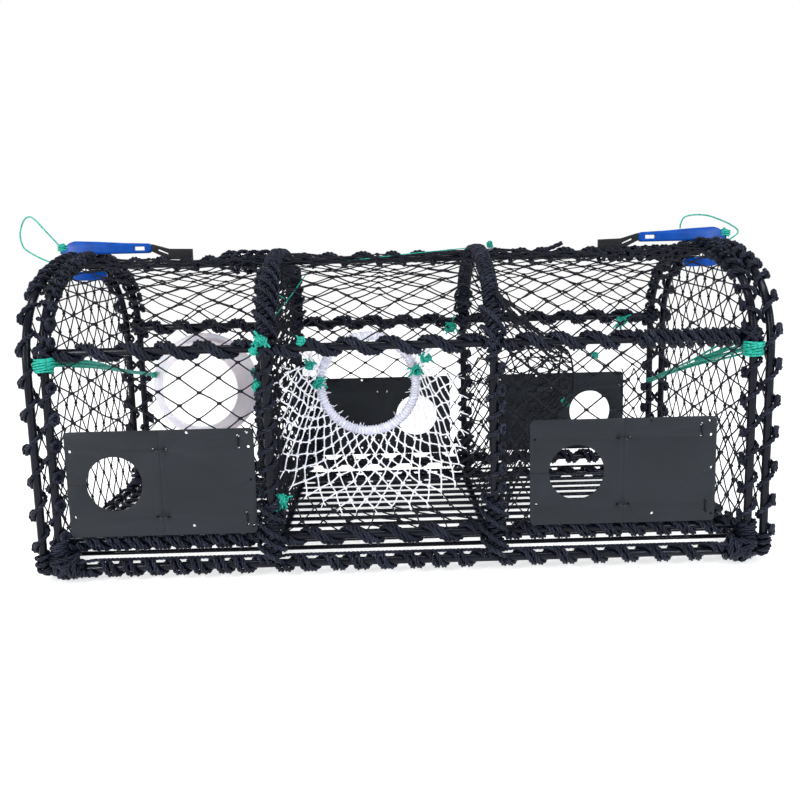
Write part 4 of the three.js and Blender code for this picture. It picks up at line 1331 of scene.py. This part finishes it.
fixed_holes = (
    (0.0395, 0.1495), (0.124, 0.148), (0.126, 0.127), (0.128, 0.079), (0.129, 0.0105), (0.043, 0.013),
    (0.112, 0.143), (0.112, 0.127), (0.12, 0.03), (0.12, 0.014),
)
flap_holes = ((0.127, 0.126), (0.125, 0.03))
plates = {
    "front_left": ("left", -1), "front_right": ("right", -1),
    "rear_centre": ("centre", 1), "rear_right": ("right", 1),
}
upright = Matrix.Rotation(quarter_turn, 4, "X")
tie_heights = {"lower": tie_inset, "upper": plate_height - tie_inset}
for name, (bay, side) in plates.items():
    seam_x = sum(bays[bay]) / 2
    wall = Matrix.Translation((seam_x, side * (plate_face - plate_thickness / 2), plate_bottom))
    wall = wall @ Matrix.Rotation(0.0 if side < 0 else math.pi, 4, "Z")
    for part, mirrored, body, small in (
        ("plate", 1, "frame", fixed_holes), ("flap", -1, f"{name}_flap_body", flap_holes),
    ):
        loops = [plate_outline(part == "flap")]
        loops += [hole_points(tie_reach, z, tie_hole, 14) for z in tie_heights.values()]
        loops += [hole_points(x, z, lace_hole, 10) for x, z in small]
        loops = [[(mirrored * u, v) for u, v in loop] for loop in loops]
        node = f"{name}_{part}"
        mesh = cut_sheet(node, loops, plate_thickness, plate_edge, wall @ upright, 30)
        piece(f"{node}_sheet", mesh, slate, body, "plate_plastic", node)
    for level, z in tie_heights.items():
        centre = Vector((seam_x, side * plate_face, plate_bottom + z))
        shape = bmesh.new()
        section = Matrix.Translation(centre + lengthways * tie_reach) @ upright
        bmesh.ops.create_circle(shape, cap_ends=False, radius=tie_tube, segments=10, matrix=section)
        spun_round(shape, centre, (0, 0, 1), 28)
        lock = Matrix.Translation(centre + Vector((0, side * tie_reach, 0)))
        made = bmesh.ops.create_cube(shape, size=lock_size, matrix=lock)
        soften(shape, edges_at(made["verts"]), 0.0007)
        node = f"{name}_{level}_tie"
        piece(f"{node}_ring", finished(shape, node), tie_plastic, "frame", "tie_plastic", node)

# Nets beside the plates
# Narrow strips of netting close the gaps between each plate and the legs of the hoops. The one at
# the left of the rear centre plate is bunched, and looks dark through the entrance.
strip_top = 0.228
strip_foot = 0.064
for name, (bay, side) in plates.items():
    seam_x = sum(bays[bay]) / 2
    for hoop_x, way in zip(bays[bay], (-1, 1)):
        bunched = name == "rear_centre" and way < 0
        near = hoop_x - way * bar_radius
        far = seam_x + way * (plate_half - (0.012 if bunched else 0.004))
        across = 5 if bunched else max(1, round(abs(far - near) / 0.024))
        rows = 26 if bunched else 8
        net = Net(0.0032 if bunched else twine_diameter)

        def knot_at(share, along):
            height = strip_foot + (strip_top - strip_foot) * along
            return Vector((near + (far - near) * share, side * (half_width + 0.001), height))

        net_sheet(net, knot_at, across, rows, play=0.003)
        strip = f"{name}_{'left' if way < 0 else 'right'}_strip"
        net_piece(strip, net)

# Lacing of the plates
# Short ends of black twine tie the fixed half of each plate to the nets and the rope behind it.
routes = []
for bay, side in plates.values():
    seam_x = sum(bays[bay]) / 2
    for places in (((0.112, 0.127), (0.112, 0.143)), ((0.12, 0.014), (0.12, 0.03))):
        ends = []
        for u, v in places:
            ends.append(Vector((seam_x - side * u, side * (plate_face + 0.0012), plate_bottom + v)))
        inner = Vector((0, -side * 0.005, 0))
        routes.append([ends[0] + inner, ends[0], ends[1], ends[1] + inner])
piece("plate_lacing", tubes("plate_lacing", routes, 0.0024), net_twine, "frame", "black_net")

# End doors
# Each end is a door: a closed D of the same bar, filled with net. It hinges on the corner knots,
# swings outwards and down, and is bound all round with half hitches of thin rope.
door_corner = 0.012
corner_steps = 6
corner_wrap = 0.032
corner_pitch = 0.0072
arch_start = 0.42
hook_room = 0.016
bottom_rope_reach = 0.2
bottom_spacing = 0.05
leg_spacing = 0.05
door_net_reach = 0.52
door_mesh_width = 0.044
door_mesh_height = 0.057
hook_arm_height = 0.4369


def door_bar(x):
    shape = bmesh.new()
    side = half_width - door_corner
    low = base_height + door_corner
    leg = Vector((0, 0, springing_height - low))
    ring = start_ring(shape, Vector((x, 0, base_height)), Vector((0, -1, 0)), False)
    ring = straight(shape, ring, Vector((0, -side, 0)))
    ring = bend(shape, ring, Vector((x, -side, low)), inward_axis, quarter_turn, corner_steps)
    ring = straight(shape, ring, leg)
    ring = over_the_top(shape, ring, x)
    ring = straight(shape, ring, -leg)
    ring = bend(shape, ring, Vector((x, side, low)), inward_axis, quarter_turn, corner_steps)
    straight(shape, ring, Vector((0, -side, 0)))
    return shape


def door_line(x):
    """Round a door from the start of its front corner over the top to the end of its rear one."""
    side = half_width - door_corner
    low = base_height + door_corner
    upper = d_line(x, low).places
    front = arc_places(x, -side, low, door_corner, -math.pi / 2, 0)
    rear = arc_places(x, side, low, door_corner, math.pi, 3 * math.pi / 2)
    return BarLine([*front[:-1], *upper, *rear[1:]])


def inside_door(at):
    """Whether a point, as (y, z), lies inside a door's bars."""
    y = abs(at.x)
    if at.y < 0.034 or y > half_width - bar_radius:
        return False
    in_corner_knot = at.y < 0.062 and y > half_width - 0.036
    if in_corner_knot:
        return False
    if at.y < springing_height:
        return True
    beyond = y - (half_width - shoulder_radius)
    if beyond > 0 and math.hypot(beyond, at.y - springing_height) > shoulder_radius - bar_radius:
        return False
    return math.hypot(y, at.y - crown_centre) < crown_radius - bar_radius


for name, side in sides.items():
    x = side * door_x
    body = f"{name}_door"
    mesh = finished(door_bar(x), body)
    piece(f"{name}_door_bar", mesh, coat, body, "coated_steel", f"{name}_door_hoop")
    net = Net(twine_diameter)
    flat_net(
        net, inside_door, lambda at: Vector((x, at.x, at.y)), door_mesh_width, door_mesh_height,
        Vector((door_mesh_width / 2, hook_arm_height)), door_net_reach,
    )
    net_piece(f"{name}_door_netting", net, f"{name}_door_net", body=body)
    line = door_line(x)
    outwards = quarter_turn * side
    arch_spacing = 0.024 if side < 0 else 0.031
    arch_end = line.length / 2 - hook_room
    spans = ((corner_wrap, arch_start, leg_spacing), (arch_start, arch_end, arch_spacing))
    routes = []
    for start, end, spacing in spans:
        for span, hand in zip(line.both_ways(start, end), (1, -1)):
            routes.append(hitched(line, *span, spacing, thin_rope_diameter, outwards, hand))
    for span in line.both_ways(0.0, corner_wrap):
        routes.append(wound(line, *span, corner_pitch, thin_over_bar, outwards, play=0.1))
    low_line = BarLine([
        (Vector((x, y, base_height)), lengthways * side) for y in (-bottom_rope_reach, bottom_rope_reach)
    ])
    reach = 2 * bottom_rope_reach
    routes.append(hitched(low_line, 0.0, reach, bottom_spacing, thin_rope_diameter, 0.0))
    rope_piece(f"{name}_door_rope", routes, thin_rope_diameter, body=body)

# Hooks
# A blue moulded hook holds each door shut. It goes round the door's top bar, with a long upper arm
# on the ridge, a short arm under it, and a slot at its end for the rubber strap.
hook_length = 0.122
hook_thickness = 0.012
tip_length = 0.045
upper_under = 0.472012
upper_head_height = 0.022
upper_end_height = 0.016
lower_top = 0.444412
lower_under = 0.429412
hook_centre = (upper_under + lower_top) / 2
hook_inner = (upper_under - lower_top) / 2
outer_centre = (upper_under + upper_head_height + lower_under) / 2
outer_half = (upper_under + upper_head_height - lower_under) / 2
outer_reach = hook_inner + 0.014
end_round = 0.006
slot_inset = 0.02
slot_half_length = 0.0085
slot_half_height = 0.003
hook_edge = 0.002


def hook_outline():
    """The hook in x and z for the left end, where +x points into the creel."""
    tip = (lower_top - lower_under) / 2
    round_x = hook_length - end_round
    low_z = upper_under + end_round
    high_z = upper_under + upper_end_height - end_round
    rounds = (
        (tip_length - tip, lower_under + tip, tip, tip, -quarter_turn, quarter_turn, 10),
        (0, hook_centre, hook_inner, hook_inner, -quarter_turn, -3 * quarter_turn, 18),
        (round_x, low_z, end_round, end_round, -quarter_turn, 0, 5),
        (round_x, high_z, end_round, end_round, 0, quarter_turn, 5),
    )
    points = [point for form in rounds for point in arc_points(*form)]
    points.append((hook_length * 0.62, upper_under + upper_end_height + 0.0016))
    points.append((hook_length * 0.3, upper_under + upper_head_height - 0.0016))
    head = (0, outer_centre, outer_reach, outer_half, quarter_turn, 3 * quarter_turn, 24)
    return points + arc_points(*head)


hook_blue = patterned(
    "blue_hook_plastic", [(0.3, (0.0001, 0.047, 0.27)), (0.7, (0.0003, 0.068, 0.38))], scale=60.0,
    roughness=(0.2, 0.22), bump=(0.1, 0.0004), grain=500.0,
    Specular_IOR_Level=0.12, Coat_Weight=0.04, Coat_Roughness=0.12,
)


def to_end(side):
    """From an outline's x and z to its place at one end of the creel."""
    place = Matrix.Translation((side * door_x, 0, 0))
    turn = Matrix.Rotation(0.0 if side < 0 else math.pi, 4, "Z")
    return place @ turn @ upright


slot_x = hook_length - slot_inset
slot_z = upper_under + upper_end_height / 2
slot = [
    (slot_x + u * slot_half_length, slot_z + v * slot_half_height)
    for u, v in ((-1, -1), (1, -1), (1, 1), (-1, 1))
]
for name, side in sides.items():
    node = f"{name}_hook"
    mesh = cut_sheet(node, [hook_outline(), slot], hook_thickness, hook_edge, to_end(side), 50)
    piece(f"{node}_moulding", mesh, hook_blue, f"{node}_body", "hook_blue", node)

# Rubber straps
# A band of black rubber, doubled, pulls each hook along the ridge. Its two layers meet at the hook
# with a gap between them, and slope down to a square-cut end bound to the ridge rail.
strap_start = hook_length + 0.0003
strap_width = 0.01
strap_edge = 0.0008
strap_outline = [
    (strap_start, 0.4745), (0.15, 0.461), (0.188, 0.46),
    (0.188, 0.4775), (0.15, 0.4785), (strap_start, 0.4865),
]
strap_gap = [(0.1315, 0.4758), (0.149, 0.4688), (0.149, 0.4712), (0.1315, 0.479)]
rubber = patterned(
    "black_rubber", [(0.3, (0.004, 0.004, 0.005)), (0.75, (0.014, 0.014, 0.016))], scale=9.0,
    stretch=(6.0, 1.0, 40.0), roughness=(0.3, 0.45), bump=(0.2, 0.0006), Specular_IOR_Level=0.22,
)
for name, side in sides.items():
    loops = [strap_outline, strap_gap]
    mesh = cut_sheet(f"{name}_strap", loops, strap_width, strap_edge, to_end(side), 30)
    piece(f"{name}_strap_band", mesh, rubber, "frame", "rubber", f"{name}_rubber_strap")

# Pull loops
# A thin loop of teal twine through the head of each hook. A pull on it stretches the strap and
# frees the door. Both ends go back into the hook.
loop_diameter = 0.0025
hook_head = outer_reach + rope_clearance + loop_diameter / 2
teal = patterned(
    "teal_twine", [(0.32, (0.001, 0.14, 0.1)), (0.5, (0.003, 0.32, 0.24)), (0.7, (0.04, 0.58, 0.47))],
    fibres=(60.0, 5.0, 1.0), detail=4.0, roughness=(0.3, 0.4), bump=(0.6, 0.0005),
    Specular_IOR_Level=0.35,
)
# Out from the hook's head, back and up from its middle, in millimetres.
loop_points = {
    "left": (
        (-7, 0, 24), (-1, 0, 28), (22, 2, 54), (38, 4, 72), (48, 5, 77), (58, 6, 70),
        (65, 6, 50), (63, 5, 34), (57, 4, 24), (36, 2, 11), (8, 0, -1), (0, 0, -2),
    ),
    "right": (
        (-3, 0, 14), (5, 0, 16), (18, 4, 27), (8, 9, 38), (-12, 12, 48), (-34, 10, 55),
        (-58, 6, 56), (-74, 2, 52), (-80, 0, 42), (-81, 0, 34),
    ),
}


def through(points, steps):
    """A smooth route through some points, evenly eased at each."""
    route = []
    padded = [points[0] * 2 - points[1], *points, points[-1] * 2 - points[-2]]
    for before, start, end, after in zip(padded, padded[1:], padded[2:], padded[3:]):
        for step in range(steps):
            t = step / steps
            first = (end - before) / 2
            second = (after - end + end - start) / 2
            curve = start * (2 * t ** 3 - 3 * t ** 2 + 1) + end * (3 * t ** 2 - 2 * t ** 3)
            route.append(curve + first * (t ** 3 - 2 * t ** 2 + t) + second * (t ** 3 - t ** 2))
    route.append(points[-1])
    return route


def length_of(route):
    return sum((after - before).length for before, after in zip(route, route[1:]))


for name, side in sides.items():
    corners = []
    for out, back, rise in loop_points[name]:
        reach = hook_head + out / 1000
        corners.append(Vector((side * (door_x + reach), back / 1000, hook_centre + rise / 1000)))
    route = through(corners, 4)
    curve = curve_of(f"{name}_loop", [route], "3D", loop_diameter / 2, 3)
    body = f"{name}_hook_body"
    loop = piece(f"{name}_pull_twine", curve, teal, body, "teal_twine", f"{name}_pull_loop")
    tuple(route[0])
    length_of(route)

# Stays and ties
# Teal twine. A stay crosses each end from the front leg, wrapped round it and doubled, and short
# ties hold nets, ring and hooks. The ends are left long and frayed.
teal_diameter = 0.0034
stay_strands = 6
stay_height = 0.317
wrap_steps = 14


def bundle(route, count, wide, narrow):
    """Several strands side by side along a route, spread wide at its start and drawn in later."""
    strands = []
    for _ in range(count):
        shift = Vector([chance.uniform(-1, 1), chance.uniform(-1, 1), chance.uniform(-1.2, 1.2)])
        strand = []
        for k, point in enumerate(route):
            share = k / (len(route) - 1)
            spread = narrow + (wide - narrow) * math.sin(math.pi * min(1.0, share + 0.22)) ** 2
            sway = shake() * narrow * 0.5
            strand.append(point + shift * spread + sway)
        strands.append(through(strand, 4))
    return strands


def wrap(centre, way, radius, turns, pitch):
    """Turns of twine round a bar, as one route."""
    across = way.orthogonal().normalized()
    beside = way.cross(across)
    route = []
    for step in range(turns * wrap_steps + 1):
        lean = swung(across, beside, full_turn * step / wrap_steps)
        route.append(centre + lean * radius + way * (step / wrap_steps - turns / 2) * pitch)
    return route


# The end, how wide the strands spread, and the places that they pass.
stay_routes = {
    "left_stay": (-1, 0.007, [
        (-0.5, -0.2415, 0.32), (-0.484, -0.21, 0.318), (-0.476, -0.16, 0.311), (-0.474, -0.08, 0.297),
        (-0.474, 0.05, 0.272), (-0.4745, 0.2405, 0.2405),
    ]),
    "right_stay": (1, 0.0095, [
        (0.5, -0.2415, 0.32), (0.499, -0.19, 0.313), (0.4985, -0.12, 0.297), (0.497, -0.02, 0.272),
        (0.494, 0.11, 0.238), (0.499, 0.242, 0.205),
    ]),
}
for node, (side, wide, corners) in stay_routes.items():
    route = [Vector(corner) for corner in corners]
    strands = bundle(route, stay_strands, wide, 0.0022)
    strands += bundle(route[:4], stay_strands, wide, 0.003)
    leg = Vector((side * half_length, -half_width, stay_height))
    for shift in (-0.007, -0.002, 0.003, 0.007):
        lean = Vector((chance.uniform(-0.2, 0.2), chance.uniform(-0.2, 0.2), 1)).normalized()
        reach = thin_over_bar + chance.uniform(0.0015, 0.0045)
        strands.append(wrap(leg + Vector((0, 0, shift)), lean, reach, 2, 0.0036))
    strands.append(wrap(route[-1], Vector((0, 0.2, 1)).normalized(), 0.004, 3, 0.003))
    piece(f"{node}_twine", tubes(node, strands, teal_diameter), teal, "frame", "teal_twine", node)


def tie(at, size, tails):
    """A knot of doubled twine pulled tight, with its cut ends standing out."""
    at = Vector(at)
    routes = []
    for _ in range(4):
        way = shake().normalized()
        shift = shake() * size * 0.35
        routes.append(wrap(at + shift, way, size * chance.uniform(0.45, 0.65), 2, teal_diameter))
    for _ in range(tails):
        lean = shake().normalized()
        start = at + lean * size * 0.5
        tip = start + lean * size * chance.uniform(0.5, 1.3)
        routes.append([start, start.lerp(tip, 0.5) + Vector((0, 0, 0.002)), tip])
    return routes


leg_front = -half_width - bar_radius - 0.008
# Each tie's place, its size and its number of cut ends.
teal_ties = [
    ((mid_left_x - 0.002, leg_front, 0.346), 0.0095, 8),
    ((mid_left_x - 0.013, leg_front + 0.004, 0.332), 0.0075, 6),
    ((-0.141, -0.246, 0.342), 0.006, 3), ((mid_left_x + 0.014, -0.24, 0.11), 0.012, 9),
    ((mid_left_x - 0.02, -0.238, 0.124), 0.0075, 5), ((0.107, 0.226, 0.322), 0.013, 10),
    ((mid_left_x - 0.014, -0.247, 0.282), 0.007, 5), ((-0.126, -0.14, 0.268), 0.0095, 8),
    ((-0.1335, -0.18, 0.302), 0.009, 8), ((0.025, -0.14, 0.285), 0.0115, 10),
    ((0.038, -0.18, 0.308), 0.0095, 8), ((0.436, mid_rail_y - 0.01, 0.324), 0.013, 12),
    ((0.3893, 0.244, 0.257), 0.0065, 5), ((0.278, -0.02, 0.209), 0.006, 5),
    ((-0.283, 0.244, 0.24), 0.0075, 6),
]
routes = []
for at, size, tails in teal_ties:
    routes += tie(at, size, tails)
piece("teal_ties", tubes("teal_ties", routes, teal_diameter * 0.9), teal, "frame", "teal_twine")
for name, side in sides.items():
    head_x = side * (door_x + outer_reach - 0.005)
    routes = tie((head_x, 0, upper_under + 0.012), 0.0075, 3)
    routes.append(wrap(Vector((head_x, 0, upper_under + 0.011)), up, 0.0085, 3, 0.003))
    mesh = tubes(f"{name}_hook_tie", routes, 0.0028)
    piece(f"{name}_hook_tie", mesh, teal, f"{name}_hook_body", "teal_twine")

# Bait line
# A thin teal line runs under the ridge from the parlour back to the left middle hoop, where bait
# is tied on. It is knotted at the parlour's end.
bait_y = -0.03
bait_places = (
    ((-0.079, 0.452), (0.02, 0.461), (0.115, 0.468)),
    ((-0.146, 0.434), (-0.172, 0.4), (-0.2, 0.367)),
    ((-0.206, 0.406), (-0.195, 0.4), (-0.184, 0.393)),
)
line, *ends = [[Vector((x, bait_y, z)) for x, z in places] for places in bait_places]
bait_routes = [through(line, 6), *ends, *tie((0.152, -0.028, 0.473), 0.006, 3)]
piece("bait_line", tubes("bait_line", bait_routes, 0.0018), teal, "frame", "teal_twine")

# Floor, light and camera
# A plain pale floor, soft light from above, a bright strip at each side, and the camera where the
# photograph was taken from.
floor_reach = 8.0
shape = bmesh.new()
bmesh.ops.create_grid(shape, x_segments=1, y_segments=1, size=floor_reach)
floor_mesh = plain_mesh(shape, "floor")
floor = shown("floor", floor_mesh)
pale = Finish(
    "pale_floor", Roughness=0.9, Base_Color=(0.93, 0.93, 0.93, 1.0), Specular_IOR_Level=0.1,
    Emission_Color=(1.0, 1.0, 1.0, 1.0), Emission_Strength=0.6,
)
floor_mesh.materials.append(pale.material)

world = bpy.data.worlds.new("studio")
world.use_nodes = True
sky = world.node_tree
direction = sky.nodes.new("ShaderNodeTexCoord")
heights = sky.nodes.new("ShaderNodeSeparateXYZ")
shade = sky.nodes.new("ShaderNodeValToRGB")
for element, (height, value) in zip(shade.color_ramp.elements, ((0.3, 1.0), (0.6, 0.4))):
    element.position = height
    element.color = (value, value, value, 1.0)
sky.links.new(direction.outputs["Generated"], heights.inputs[0])
sky.links.new(heights.outputs["Z"], shade.inputs["Fac"])
sky.links.new(shade.outputs["Color"], sky.nodes["Background"].inputs["Color"])
scene.world = world


# Each light's place, size, power and colour.
soft_lights = {
    "top_light": ((0.0, -0.5, 2.6), (2.6, 0.3), 34, (1.0, 1.0, 1.0)),
    "left_light": ((-2.0, -2.0, 1.2), (0.08, 1.8), 36, (1.0, 1.0, 1.0)),
    "right_light": ((2.0, -2.2, 1.2), (0.08, 1.8), 32, (0.78, 0.9, 1.0)),
}
light_aim = Vector((0, 0, 0.2))
for name, (at, size, power, colour) in soft_lights.items():
    lamp = bpy.data.lights.new(name, "AREA")
    lamp.color = colour
    lamp.shape = "RECTANGLE"
    lamp.size, lamp.size_y = size
    lamp.energy = power
    light = shown(name, lamp)
    light.matrix_world = aimed(at, light_aim - Vector(at), "-Z")

camera_place = (-0.0204, -1.5021, 0.4548)
focal_length = 40.23
sensor_width = 36.0
pitch = math.radians(9.03)
yaw = math.radians(0.81)
roll = math.radians(-1.34)
forward = Vector((math.sin(yaw) * math.cos(pitch), math.cos(yaw) * math.cos(pitch), -math.sin(pitch)))
level = Vector((math.cos(yaw), -math.sin(yaw), 0))
over = level.cross(forward)
right = level * math.cos(roll) + over * math.sin(roll)
above = over * math.cos(roll) - level * math.sin(roll)
turned = Matrix((right, above, -forward)).transposed().to_4x4()
lens = bpy.data.cameras.new("camera")
lens.sensor_width = sensor_width
lens.lens = focal_length
camera = shown("camera", lens)
camera.matrix_world = Matrix.Translation(camera_place) @ turned
scene.camera = camera
scene.view_settings.view_transform = "Standard"

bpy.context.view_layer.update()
